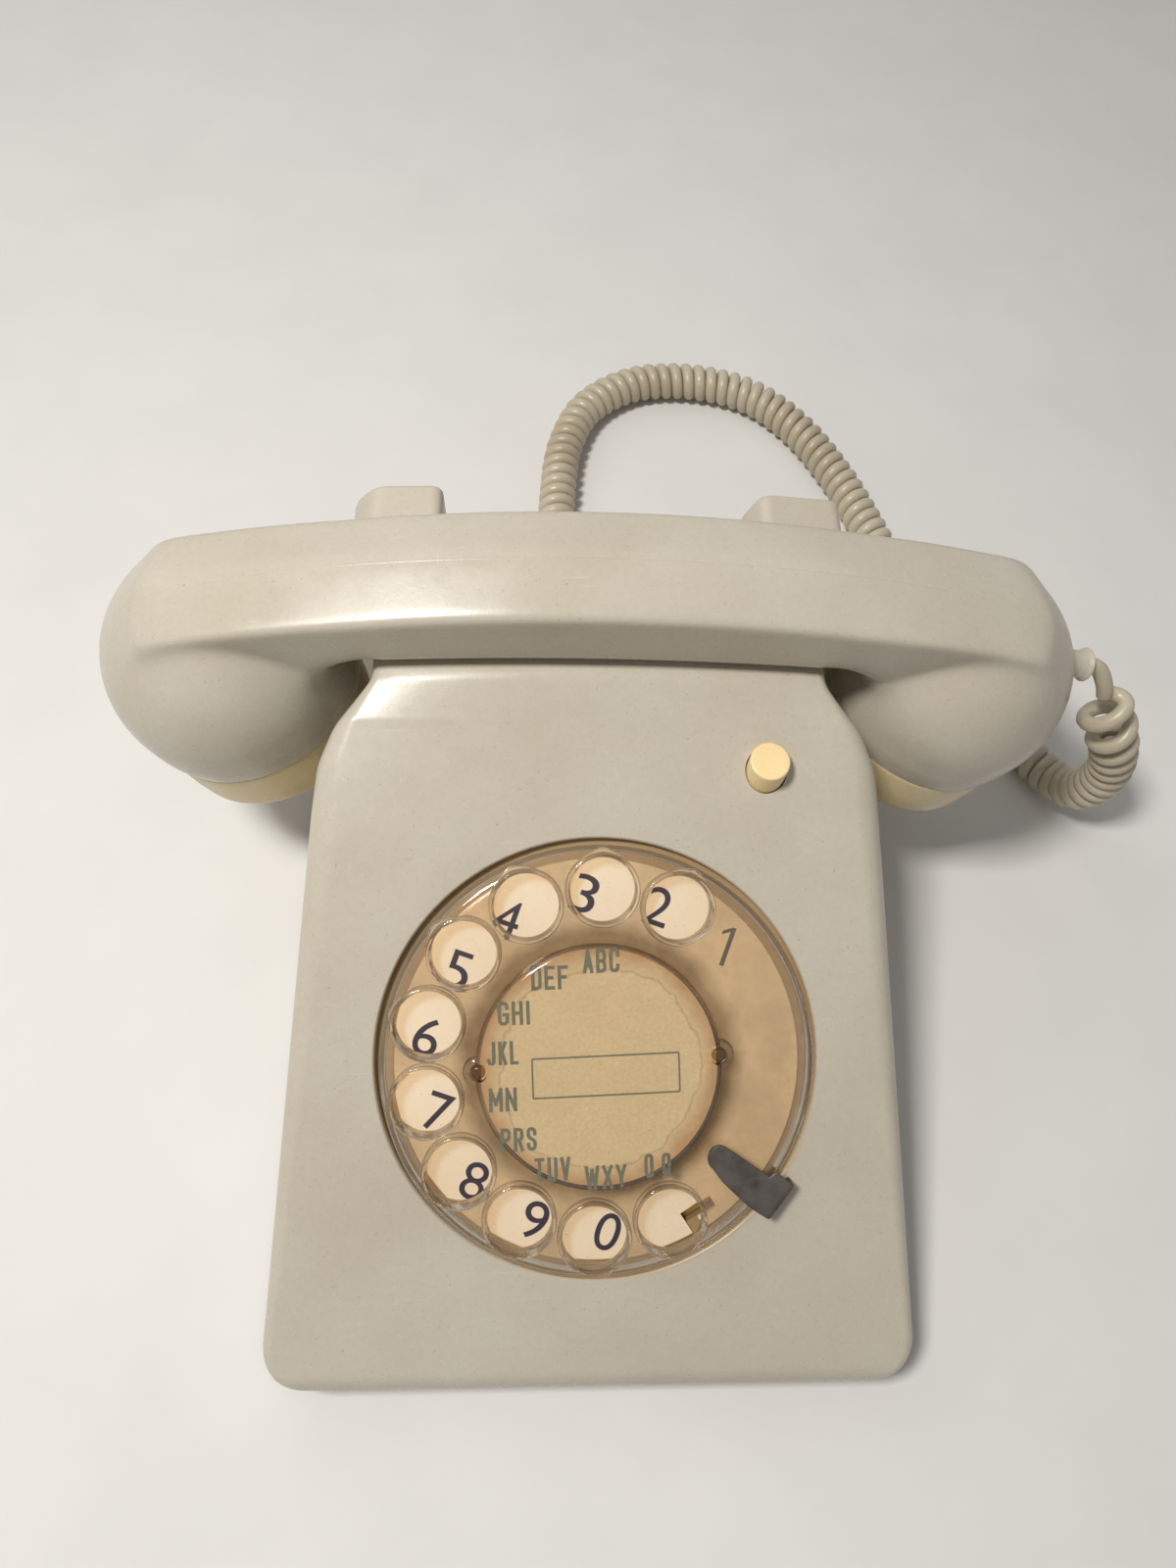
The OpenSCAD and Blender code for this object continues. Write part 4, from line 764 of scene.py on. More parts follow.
@dataclass
class Housing:
    """Moulded housing: one skin from the sloping face over the shoulders to the deck, with two cradle ears."""

    at: Layout
    wall: float = 2.4
    side_lean: float = 9.6
    front_corner: float = 10.0
    rear_corner: float = 12.0
    lip_r: float = 3.0
    rear_edge: float = 7.0
    rear_drop: float = 5.5
    shelf: float = 25.0
    shelf_arc: float = 5.0
    shelf_rise: float = 2.7
    kerb_out: float = 3.5
    kerb_h: float = 7.0
    soft: float = 1.7
    button: tuple[float, float, float] = (38.0, 28.3, 4.9)
    plunger_x: float = 43.5
    plunger_r: float = 3.0
    gland_r: float = 5.0
    ear_depth: float = 11.0

    def line(self, y: np.ndarray) -> np.ndarray:
        """Height of the middle line at y: face, strip, level deck and falling rear, before the end roundings."""
        a = self.at
        run = a.rear - self.rear_edge - a.ear_y
        return np.interp(y, [a.face_y - 10, a.crease_y, a.deck_y, a.ear_y, a.ear_y + run, a.rear + 20], [
            a.lip_h - 10 * math.tan(math.radians(a.slope)), a.crease_z, a.deck_z, a.deck_z,
            a.deck_z - self.rear_drop, a.deck_z - self.rear_drop])

    def softened(self, f: object, y: np.ndarray) -> np.ndarray:
        """Average of a function of y over a short run, which rounds its corners."""
        return np.mean([f(y + d) for d in np.linspace(-self.soft, self.soft, 9)], axis=0)

    def top(self, y: np.ndarray) -> np.ndarray:
        """Height of the middle line with its corners softened and its two ends rounded off."""
        a = self.at
        return self.softened(self.line, y) - step_in(self.lip_r, y - a.front) - step_in(self.rear_edge, a.rear - y)

    def half_width(self, y: np.ndarray, w: float) -> np.ndarray:
        """Half width of the top of the skin: the face, the chamfered shoulders, then the deck."""
        a, lean, s = self.at, math.tan(math.radians(self.side_lean)), self.at.shoulder_y

        def raw(v: np.ndarray) -> np.ndarray:
            face = w - lean * self.line(v)
            at_s = w - lean * float(self.line(np.array(s)))
            at_8 = w - lean * float(self.line(np.array(s + 8))) - 0.6
            narrow = np.interp(v, [s, s + 8, a.crease_y, a.deck_y, a.handset_y, a.deck_y + 30, a.rear], [
                at_s, at_8, a.deck_half + 9, a.deck_half, a.deck_half + 0.5, a.deck_half + 4, a.deck_half + 4])
            return np.where(v <= s, face, np.minimum(face, narrow))

        return self.softened(raw, y)

    def section(self, y: np.ndarray, t: float, low: float) -> np.ndarray:
        """Right half of the skin's section at each y, from the bottom edge to the middle of the top.

        Between the front and the shoulders the side is one leaning wall. Behind them it is a wall up to a
        side shelf, an arc, the shelf, a hollow curve and the upright side of the deck. The two are mixed by
        a smooth step of y. A round edge and the crowned top, z - x^2 / 2R, follow in both.

        Args:
            y: Places along the depth, as a column.
            t: How far the skin is set in.
            low: Height of its bottom edge.

        Returns:
            Array of station by point by (x, z).
        """
        a, lean = self.at, math.tan(math.radians(self.side_lean))
        s = a.shoulder_y
        step = step_in(self.front_corner - t, y - a.front - t) + step_in(self.rear_corner - t, a.rear - t - y)
        w = a.base_w / 2 - t - step
        zt = self.top(y) - 1.1 * t
        tw = self.half_width(y, a.base_w / 2 - t) - step - np.where(y > s, t * np.clip((y - s) / 8, 0, 1), 0)
        r = np.maximum(0.8, np.interp(y, [a.front, a.front + 12, s, a.crease_y, a.deck_y, a.rear],
                                      [2, 2.8, 7.5, 6, 3, 4]) - t)
        crown = np.clip((y - a.crease_y) / a.strip_run, 0.02, 1) / (2 * a.under_r)
        z_side = zt - crown * tw**2 - r
        shelf, sr = self.shelf - t, max(1.0, self.shelf_arc - t)
        rise, out, top = self.shelf_rise, self.kerb_out, shelf + self.kerb_h
        block = tw + 0.03 * (zt - shelf)
        k = np.linspace(0, 1, 41)[None, :-1]
        straight = np.stack([w + (tw - w) * k, low + (z_side - low) * k], -1)
        xw = w - lean * (shelf - sr - low)
        q = np.linspace(0, 1, 9)[None, :-1]
        th = np.pi / 2 * np.linspace(0, 1, 11)[None, :-1]
        kerb = np.stack([bend(q, block + out, block + 0.4, block),
                         bend(q, shelf + rise, shelf + rise + 0.5, top) + 0 * y], -1)
        p = np.linspace(0, 1, 7)[None, :-1]
        stepped = np.concatenate([
            np.stack([w + (xw - w) * q, low + (shelf - sr - low) * q + 0 * y], -1),
            np.stack([xw - sr + sr * np.cos(th), shelf - sr + sr * np.sin(th) + 0 * y], -1),
            np.stack([(xw - sr) * (1 - p) + (block + out) * p, shelf + rise * p + 0 * y], -1),
            kerb,
            np.stack([block + (tw - block) * q, top + (z_side - shelf - self.kerb_h) * q], -1)], 1)
        f = np.clip((y - s) / 7, 0, 1)
        f = (f * f * (3 - 2 * f))[..., None]
        side = (1 - f) * straight + f * stepped
        th = np.pi / 2 * np.linspace(0, 1, 13)[None, :]
        edge = np.stack([tw - r * (1 - np.cos(th)), z_side + r * np.sin(th)], -1)
        g = np.linspace(1, 0, 25)[None, 1:]
        x = g * (tw - r)
        return np.concatenate([side, edge, np.stack([x, zt - crown * x**2], -1)], 1)

    def stations(self, t: float) -> np.ndarray:
        """Places along the depth, close together where corners turn, as a column."""
        a, th = self.at, np.pi / 2 * np.linspace(0, 1, 15)
        s = a.shoulder_y
        front = a.front + t + (self.front_corner - t) * (1 - np.cos(th))
        rear = a.rear - t - (self.rear_corner - t) * (1 - np.cos(th))[::-1]
        middle = np.concatenate([
            np.linspace(front[-1], s - 3, 40)[1:], np.linspace(s - 3, a.deck_y + 3, 56)[1:],
            np.linspace(a.deck_y + 3, rear[0], 30)[1:-1]])
        return np.concatenate([front, middle, rear])[:, None]

    def skin(self, name: str, t: float, low: float) -> Piece:
        """Closed solid inside the skin set in by t: mirrored half sections joined station by station."""
        y = self.stations(t)
        half = self.section(y, t, low)
        ring = np.concatenate([half, half[:, -2::-1] * [-1, 1]], 1)
        rows, cols = ring.shape[:2]
        points = np.stack([ring[..., 0], y + 0 * ring[..., 0], ring[..., 1]], -1).reshape(-1, 3)
        quads = np.concatenate([grid_quads(rows, cols), strip_cap(cols, 0, True),
                                strip_cap(cols, (rows - 1) * cols, False)])
        return build(name, points, quads)

    def ear(self, side: int) -> Piece:
        """Cradle ear: an outline whose top falls outwards, carried along Y, with rounded edges."""
        a = self.at
        x0, x1, z0, z1 = a.deck_half - 14.8, a.deck_half + 6.2, a.deck_z - 8, a.deck_z + 11.5
        if side < 0:
            corners = [(x0 - 1, z0), (x0 - 0.6, z1 + 1.2), (x1 - 6.2, z1 + 0.4), (x1 - 1.4, z1 - 4.2),
                       (x1, z1 - 9), (x1, z0)]
        else:
            corners = [(x0 - 3.8, z0), (x0 - 3.8, z1 - 6.5), (x0 - 0.4, z1 + 1.2), (x1 - 2.6, z1 - 0.4),
                       (x1 - 1, z0)]
        outline = rounded(corners, 2.6, 7)
        ring = np.stack([side * outline[:, 0], 0 * outline[:, 0], outline[:, 1]], -1)
        rings = np.stack([ring + [0, a.ear_y, 0], ring + [0, a.ear_y + self.ear_depth, 0]])
        obj = build("ear", *tube(rings))
        bevel(obj, 1.3, 4, 50)
        return obj

    def cutters(self) -> list[Piece]:
        """Solids cut from the skin: the dial's opening with a rolled edge, the stop's slot and the round holes."""
        a = self.at
        flare = [(a.opening_r + 0.9 * (1 - math.cos(q)), -0.9 + 0.96 * math.sin(q)) for q in np.linspace(0, 1.35, 6)]
        profile = np.array([(0, -15), (a.opening_r, -15), *flare, (a.opening_r + 1.4, 12), (0, 12)])
        points, quads = lathe(profile, 256)
        out = [build("cut", a.on_dial(points), quads)]
        box = np.array([(48.8, -2.5), (52.8, -2.5), (52.8, 2.5), (48.8, 2.5)])
        points, quads = prism(box, -10, 2)
        out.append(build("cut", a.on_dial(points @ turn("Z", a.stop_a).T), quads))
        plungers = [(side * self.plunger_x, a.handset_y, self.plunger_r) for side in (-1, 1)]
        for x, y, r in (self.button, *plungers):
            points, quads = lathe(cylinder(r, 0, 60), 64)
            out.append(build("cut", points + [x, y, 55], quads))
        for x, z in ((-9.0, 13.0), (26.0, 18.0)):  # the handset cord's hole, then the line cord's
            points, quads = lathe(cylinder(self.gland_r, 0, 16), 64)
            out.append(build("cut", points @ turn("X", -90).T + [x, a.rear - 8, z], quads))
        return out

    def make(self) -> Piece:
        """Makes the housing as one solid and returns it."""
        shell = self.skin("housing_shell", 0, self.at.rim_z)
        join(shell, [self.skin("inner", self.wall, self.at.rim_z - 2)], Join.CUT)
        join(shell, [self.ear(-1), self.ear(1)], Join.ADD)
        join(shell, self.cutters(), Join.CUT, 30)
        even_normals(shell)
        return shell


# --- Handset ----------------------------------------------------------------------------------------


@dataclass
class Handset:
    """Arched handset: a roofed handle whose ends fan down into two round cups, each closed by a screwed cap."""

    at: Layout
    crown_r: float = 340.0
    cup_r: float = 29.97
    fillet: float = 12.0
    band_end: float = 106.46
    end_lean: float = 0.2
    seam_drop: float = 14.0
    seam_r: float = 27.6
    parting: float = -6.0
    seam_rise: float = 0.07
    seam_half: float = 0.3
    seam_steps: float = 0.55
    seam_rings: int = 150
    around: int = 144

    def angles(self) -> np.ndarray:
        """Angles of a ring's points, with five close ones where the parting line runs."""
        even = np.arange(self.around) * 2 * np.pi / self.around
        close = np.radians(360 + self.parting + self.seam_steps * np.arange(-2, 3))
        return np.unique(np.concatenate([even, close]))

    def crown(self, x: np.ndarray) -> np.ndarray:
        """Height of the arched top at x: an arc of the crown's radius."""
        return self.at.crown_z - self.crown_r + np.sqrt(self.crown_r**2 - x**2)

    def under(self, x: np.ndarray) -> np.ndarray:
        """Height of the underside at x: z - x^2 / 2R."""
        return self.at.handle_low - x**2 / (2 * self.at.under_r)

    def roof(self, a: np.ndarray, h: np.ndarray) -> np.ndarray:
        """Radius of the handle's outline at angle a from the top.

        It is the 18th power mean of flats: two roof slopes, two sides, the underside and two lower corners.

        Args:
            a: Angles.
            h: Half height of the section, as a column.

        Returns:
            Radius at each angle.
        """
        w = self.at.handle_w / 2
        c = math.cos(math.radians(15))
        flats = [(15, h * c), (-15, h * c), (90, w + 0 * h), (-90, w + 0 * h), (180, h),
                 (137, (h + w) * 0.62), (-137, (h + w) * 0.62)]
        total = sum((np.maximum(0, np.cos(a - math.radians(f))) / d) ** 18 for f, d in flats)
        return total ** (-1 / 18)

    def ring(self, base: np.ndarray, e: np.ndarray, m: np.ndarray, r: np.ndarray, a: np.ndarray) -> np.ndarray:
        """Rings in planes through base along e: base + e (m + r cos a), and r sin a across."""
        reach = m + r * np.cos(a)
        return np.stack([base[:, :1] + e[:, :1] * reach, self.at.handset_y + r * np.sin(a),
                         base[:, 1:] + e[:, 1:] * reach], -1)

    def rings(self) -> np.ndarray:
        """Rings of the right half, from the middle of the handle to the seam of the cup."""
        a = self.angles()[None, :]
        end = 90 + self.at.cup_tilt
        reach = self.cup_r + self.fillet
        ce, se = cos_sin(end)
        pivot = np.array([self.at.cup_x - reach * se, self.at.cup_z - reach * ce])
        x = np.linspace(0, pivot[0], 40)[:-1, None]
        low, high = self.under(x), self.crown(x)
        handle = self.ring(np.hstack([x, 0 * x]), np.array([[0.0, 1.0]]), (low + high) / 2,
                           self.roof(a, (high - low) / 2), a)
        f = np.linspace(0, end, 120)[:, None]
        e = np.hstack([np.sin(np.radians(f)), np.cos(np.radians(f))])
        q = pivot - [0, self.at.crown_z - self.crown_r]
        qe = (e @ q)[:, None]
        r1 = -qe + np.sqrt(qe**2 - (q @ q - self.crown_r**2))
        fall = self.end_lean * (float(self.crown(np.array(self.band_end))) - pivot[1])
        r2 = np.maximum((self.band_end - pivot[0] + fall) / (e[:, :1] + self.end_lean * e[:, 1:]), 1)
        high = np.where(f < 20, r1, (r1**-24.0 + r2**-24.0) ** (-1 / 24))
        low = (self.under(pivot[0]) - pivot[1]) * (1 - f / end) + (self.fillet + 2) * f / end
        h, m = (high - low) / 2, (high + low) / 2
        c, off = reach * np.cos(np.radians(end - f)), reach * np.sin(np.radians(end - f))
        rs = np.sqrt(np.maximum(self.cup_r**2 - off**2, 0))
        fade = 1 - 0.4 * np.maximum(0, (f - 70) / (end - 70)) ** 2
        d = c - m
        ball = np.where(rs > np.abs(d), d * np.cos(a) + np.sqrt(np.maximum(rs**2 - (d * np.sin(a)) ** 2, 0)), 0)
        fan = self.ring(pivot + 0 * e, e, m, ((self.roof(a, h) * fade) ** 9 + ball**9) ** (1 / 9), a)
        s = np.linspace(0, self.seam_drop, 16)[1:, None]
        tip = np.radians(self.at.cup_pitch * np.minimum(1, s / (0.6 * self.seam_drop)))
        ct, st = cos_sin(self.at.cup_tilt)
        axis = np.hstack([-st + 0 * s, -np.sin(tip) * ct, -np.cos(tip) * ct])[:, None]
        u = np.hstack([ct + 0 * s, -st * np.sin(tip), -st * np.cos(tip)])[:, None]
        v = np.hstack([0 * s, np.cos(tip), -np.sin(tip)])[:, None]
        r = (self.cup_r - (self.cup_r - self.seam_r) * (s / self.seam_drop) ** 2)[..., None]
        cup = (np.array([self.at.cup_x, self.at.handset_y, self.at.cup_z]) + s[..., None] * axis
               + r * (np.cos(a)[..., None] * u + np.sin(a)[..., None] * v))
        return np.concatenate([handle, fan, cup])

    def make_shell(self) -> Piece:
        """Makes the handset's shell: both halves' rings with a fine raised seam, hollowed for the caps."""
        right = self.rings()
        a = self.angles()
        near = np.abs(np.angle(np.exp(1j * (a - math.radians(self.parting)))))
        seam = np.where(near < math.radians(self.seam_half), self.seam_rise, 0.0)
        fade = (np.arange(len(right)) < self.seam_rings).astype(float)
        middle = right.mean(1, keepdims=True)
        outward = (right - middle) / np.linalg.norm(middle - right, axis=-1, keepdims=True)
        right = right + outward * (seam[None, :] * fade[:, None])[..., None]
        left = right[:0:-1] * [-1, 1, 1]
        shell = build("handset_body", *tube(np.concatenate([left, right])), sharp=40)
        tools = []
        for side in (-1, 1):
            profile = np.array([(0, -12), (22, -12), (22, 9), (23.6, 9), (23.6, 20), (0, 20)])
            points, quads = lathe(profile, 96)
            tools.append(build("cut", self.at.cup(side, points), quads))
        join(shell, tools, Join.CUT, 40)
        return shell

    def make_cap(self, name: str, side: int, holes: list[tuple[float, int]]) -> Piece:
        """Makes a screwed cap: skirt, rounded rim and dished face, turned round the cup's axis, with sound holes.

        Args:
            name: Name of the piece.
            side: 1 at the right and -1 at the left.
            holes: Radius of each ring of holes and how many are on it.

        Returns:
            The cap.
        """
        outer = rounded([(0, 10.3), (12, 10.6), (18, 11.5), (22, 13.6), (23.6, 14.45), (25, 14.2), (26, 12.9),
                         (26.9, 7.4), (27.5, 0.7), (27.2, 0.12), (23.5, 0.1), (23.5, -4.6), (21.6, -4.6),
                         (21.6, 8.6), (20, 9.3), (0, 8.3)], 0.9, 4)
        points, quads = lathe(outer, 160)
        cap = build(name, self.at.cup(side, points + [0, 0, self.seam_drop]), quads)
        tools = []
        for radius, count in holes:
            for i in range(count):
                points, quads = lathe(cylinder(1.1, 0, 20), 20)
                place = turn("Z", i * 360 / count) @ [radius, 0, 0]
                tools.append(build("cut", self.at.cup(side, points + place + [0, 0, self.seam_drop + 4]), quads))
        join(cap, tools, Join.CUT)
        return cap

    def make_relief(self) -> Piece:
        """Makes the waisted nub with a rolled lip where the cord leaves the handset."""
        profile = [(0, -0.55), (3.9, -0.55), (3.6, 1.2), (3.4, 3.2), (3.7, 4.9), (4.35, 5.85), (4.3, 6.15),
                   (3.9, 6.05), (3.2, 5.2), (0, 5.0)]
        points, quads = lathe(rounded(profile, 0.25, 4), 64)
        place = [120 - 1.6, self.at.handset_y, self.at.cup_z + 5.5]
        return build("cord_nub", points @ turn("Y", 100).T + place, quads)


# --- Cord -------------------------------------------------------------------------------------------


@dataclass
class HandsetCord:
    """Coiled cord: a thin tail out of the handset, a long coil that lies on the table, a tail into the rear wall."""

    at: Layout
    wire_d: float = 4.2
    coil_d: float = 12.6
    pitch: float = 4.4
    loose: float = 2.7
    loose_at: float = 5.0
    loose_run: float = 13.0
    loose_swell: float = 0.32
    fade_in: float = 3.5
    fade_out: float = 5.0
    per_turn: int = 16
    crowding: float = 1.35

    def route(self) -> np.ndarray:
        """Points that the middle of the cord follows, and 1 for a tail or 2 for the coil."""
        return np.array([
            [125.3, 63, 72.78, 1], [128.6, 62.5, 71.8, 1], [131.8, 60.2, 67.6, 1], [134.5, 58.5, 61.5, 2],
            [139, 56, 54, 2], [144.5, 54, 45, 2], [148.5, 53, 35, 2], [150, 53, 25, 2], [149.5, 54.5, 15.5, 2],
            [146.5, 60, 9, 2], [141, 69, 6.8, 2], [132, 83, 6.8, 2], [122, 99, 6.8, 2], [113, 118, 6.8, 2],
            [105.5, 139, 6.8, 2], [99, 159, 6.8, 2], [91, 180, 6.8, 2], [79, 201, 6.8, 2], [63, 216, 6.8, 2],
            [42, 222.2, 6.8, 2], [20, 220, 6.8, 2], [3, 208, 6.8, 2], [-5, 190, 6.8, 2], [-7.5, 171, 6.8, 2],
            [-8.3, 152, 6.8, 2], [-8.8, 136, 7, 2], [-9, 126, 8.5, 1], [-9, 118, 11, 1], [-9, 111, 12.8, 1],
            [-9, 106, 13, 1], [-9, 100, 13, 1]])

    def curve(self, p: np.ndarray, steps: int) -> np.ndarray:
        """Smooth curve through points: the Catmull-Rom cubic between each pair, with the ends repeated."""
        q = np.concatenate([p[:1], p, p[-1:]])
        u = np.linspace(0, 1, steps, endpoint=False)[None, :, None]
        a, b, c, d = (q[i:len(q) - 3 + i, None] for i in range(4))
        out = 0.5 * (2 * b + (c - a) * u + (2 * a - 5 * b + 4 * c - d) * u**2 + (3 * b - a - 3 * c + d) * u**3)
        return np.concatenate([out.reshape(-1, p.shape[1]), p[-1:]])

    def path(self) -> np.ndarray:
        """Middle line of the wire.

        Along the coil the wire winds round the route: route + R (cos w N + sin w B), where w grows by a full
        turn for each pitch, R fades in and out at the ends, and N and B are carried along the route without
        twisting. Near the handset the turns are looser and wider by exp(-((s - start) / run)^2).

        Returns:
            Points in millimetres.
        """
        line = self.curve(self.route(), 40)
        xyz, kind = line[:, :3], line[:, 3]
        s = np.concatenate([[0], np.cumsum(np.linalg.norm(np.diff(xyz, axis=0), axis=1))])
        first, last = s[np.argmax(kind > 1.5)], s[len(kind) - 1 - np.argmax(kind[::-1] > 1.5)]
        grid = np.arange(0, s[-1], self.pitch / self.per_turn / self.crowding)
        p = np.column_stack([np.interp(grid, s, xyz[:, i]) for i in range(3)])
        tangent = np.gradient(p, axis=0)
        tangent /= np.linalg.norm(tangent, axis=1, keepdims=True)
        normal = np.empty_like(p)
        side = np.array([0.0, 1.0, 0.0])
        for i, t in enumerate(tangent):  # each step takes the last normal and drops its part along the route
            side = side - t * (side @ t)
            side /= np.linalg.norm(side)
            normal[i] = side
        across = np.cross(tangent, normal)
        near = np.exp(-((grid - first - self.loose_at) / self.loose_run) ** 2)
        slack = 1 + (self.loose - 1) * near
        inside = ((grid > first) & (grid < last)).astype(float)
        phase = 2 * np.pi * np.cumsum(inside / (self.pitch * slack) * (grid[1] - grid[0]))
        fade = np.clip((grid - first) / self.fade_in, 0, 1) * np.clip((last - grid) / self.fade_out, 0, 1)
        swell = 1 + self.loose_swell * near
        r = ((self.coil_d - self.wire_d) / 2 * swell * fade * fade * (3 - 2 * fade))[:, None]
        return p + r * (np.cos(phase)[:, None] * normal + np.sin(phase)[:, None] * across)

    def make(self) -> tuple[Piece, float]:
        """Makes the cord as one open curve and returns it with its length in metres."""
        points = self.path() * MM
        data = bpy.data.curves.new("coiled_cord", "CURVE")
        data.dimensions, data.bevel_depth, data.bevel_resolution = "3D", self.wire_d / 2 * MM, 3
        data.use_fill_caps = True
        spline = data.splines.new("POLY")
        spline.points.add(len(points) - 1)
        spline.points.foreach_set("co", np.column_stack([points, np.ones(len(points))]).ravel())
        spline.use_smooth = True
        obj = bpy.data.objects.new("coiled_cord", data)
        bpy.context.scene.collection.objects.link(obj)
        return obj, float(np.linalg.norm(np.diff(points, axis=0), axis=1).sum())


# --- Dial -------------------------------------------------------------------------------------------


@dataclass
class Dial:
    """Dial: number plate with its digits, clear finger wheel, label card under a clear cover, finger stop."""

    at: Layout
    rise: float = 4.8
    wheel_r: float = 49.5
    hole_ring: float = 39.5
    finger_r: float = 7.35
    collar: float = 1.25
    first_hole: float = 63.7
    steps: int = 14
    window: float = 28.0
    plate_top: float = -0.8
    plate_r: float = 46.8
    card_top: float = 6.3
    card_r: float = 26.35
    card_turn: float = 2.6
    digit_turn: float = -19.0
    digit_size: tuple[float, float] = (5.7, 8.9)
    print_lift: float = 0.03
    screw_angles: tuple[float, float] = (6.0, 182.0)

    def hole_angles(self) -> np.ndarray:
        """Angles of the ten finger holes."""
        return self.first_hole + np.arange(10) * 360 / self.steps

    def screw_places(self) -> list[np.ndarray]:
        """Places of the centre cover's two screws."""
        return [(self.window - 1) * cos_sin(angle) for angle in self.screw_angles]

    def turned(self, name: str, profile: np.ndarray, around: int = 192, sharp: float = 32.0) -> Piece:
        """Turned piece on the dial's axis."""
        points, quads = lathe(profile, around)
        return build(name, self.at.on_dial(points), quads, sharp)

    def round_at(self, x: float, y: float, profile: np.ndarray, around: int = 64) -> Piece:
        """Turned solid whose axis stands at x, y on the dial."""
        points, quads = lathe(profile, around)
        return build("round", self.at.on_dial(points + [x, y, 0]), quads)

    def make_wheel(self) -> Piece:
        """Makes the clear wheel: a disc with its rim turned down, and a deep collar round each finger hole."""
        r, z = self.wheel_r, self.rise
        disc = rounded([(0, z - 2.2), (r - 3.6, z - 2.2), (r - 1.6, z - 3.2), (r - 1.4, -0.25), (r - 0.05, -0.25),
                        (r - 0.05, z - 2.0), (r - 0.8, z - 0.7), (r - 2.4, z), (self.window + 0.2, z),
                        (self.window - 0.6, z - 0.4), (0, z - 0.4)], 0.7, 5)
        wheel = self.turned("clear_wheel", disc, 256)
        hub = self.round_at(0, 0, cylinder(7.5, -2.5, z - 1.2))
        collars, holes = [hub], []
        outer, inner = self.finger_r + self.collar, self.finger_r
        ring = rounded([(0, 0.2), (outer - 0.5, 0.2), (outer - 0.1, 0.9), (outer, z - 0.2), (outer - 0.35, z + 0.39),
                        (0, z + 0.39)], 0.5, 4)
        bore = rounded([(0, -2), (inner + 0.45, -2), (inner + 0.4, 0.2), (inner, 1.2), (inner, z - 0.6),
                        (inner + 0.45, z + 0.45), (inner + 0.6, 8), (0, 8)], 0.5, 4)
        for angle in self.hole_angles():
            x, y = self.hole_ring * cos_sin(angle)
            collars.append(self.round_at(x, y, ring, 72))
            holes.append(self.round_at(x, y, bore, 72))
        join(wheel, collars, Join.ADD)
        shaft = self.round_at(0, 0, cylinder(3.02, -5, 15))
        join(wheel, holes + [shaft], Join.CUT)
        even_normals(wheel)
        return wheel

    def make_cover(self) -> Piece:
        """Makes the clear cover over the card: a low dome with two round lugs for its screws."""
        w = self.window
        dome = rounded([(0, 4.4), (w - 0.7, 4.4), (w - 0.2, 4.8), (w - 0.5, 6.9), (w - 1.4, 7.8), (12, 8.15),
                        (0, 8.3)], 0.8, 6)
        cover = self.turned("clear_cover", dome)
        lugs, holes = [], []
        lug = rounded([(0, 4.8), (3.5, 4.8), (3.5, 6.4), (2.9, 6.98), (0, 6.98)], 0.6, 4)
        for x, y in self.screw_places():
            lugs.append(self.round_at(x, y, lug, 48))
            holes.append(self.round_at(x, y, np.array([(0, 5.6), (1.9, 5.6), (2.1, 9), (0, 9)]), 48))
        join(cover, lugs, Join.ADD)
        pocket = self.turned("pocket", cylinder(26.6, 3.0, 6.4))
        join(cover, holes + [pocket], Join.CUT)
        even_normals(cover)
        return cover

    def make_pins(self) -> Piece:
        """Makes the two round pins that hold the cover."""
        dome = rounded([(0, 5.65), (1.7, 5.65), (1.7, 6.3), (1.2, 6.85), (0, 7.05)], 0.4, 5)
        out = [self.round_at(x, y, dome, 40) for x, y in self.screw_places()]
        join(out[0], [out[1]], Join.ADD)
        out[0].name = "cover_pins"
        return out[0]

    def make_card(self) -> Piece:
        """Makes the label card as a thin turned disc."""
        return self.turned("label_disc", cylinder(self.card_r, self.card_top - 0.4, self.card_top))

    def make_letters(self) -> Piece:
        """Makes the card's print: nine groups of letters in a ring and the outline of an empty label field."""
        parts = []
        groups = {"ABC": (0.0, 24.0, 8.2), "DEF": (-11.4, 20.2, 8.2), "GHI": (-19.2, 12.3, 7.2),
                  "JKL": (-21.6, 3.4, 7.0), "MN": (-21.4, -7.0, 6.2), "PRS": (-17.8, -15.9, 8.0),
                  "TUV": (-10.2, -22.6, 8.0), "WXY": (1.7, -24.4, 9.4), "O Q": (13.3, -21.8, 6.0)}
        for text, (x, y, width) in groups.items():
            for points, faces in bold_word(text, width, 5.3, 0.78):
                points = points @ turn("Z", self.card_turn).T + [x, y, self.card_top + self.print_lift]
                parts.append((self.at.on_dial(points), faces))
        h, v, line = 16.4, 4.4, 0.2
        for x, y, a, b in ((0, v, h, line), (0, -v, h, line), (-h, 0, line, v), (h, 0, line, v)):
            corners = np.array([(-a, -b, 0), (a, -b, 0), (a, b, 0), (-a, b, 0)]) + [x, y, 0]
            corners = corners @ turn("Z", self.card_turn).T + [1.5, -1.6, self.card_top + self.print_lift]
            parts.append((self.at.on_dial(corners), [[0, 1, 2, 3]]))
        return printed("card_print", parts)

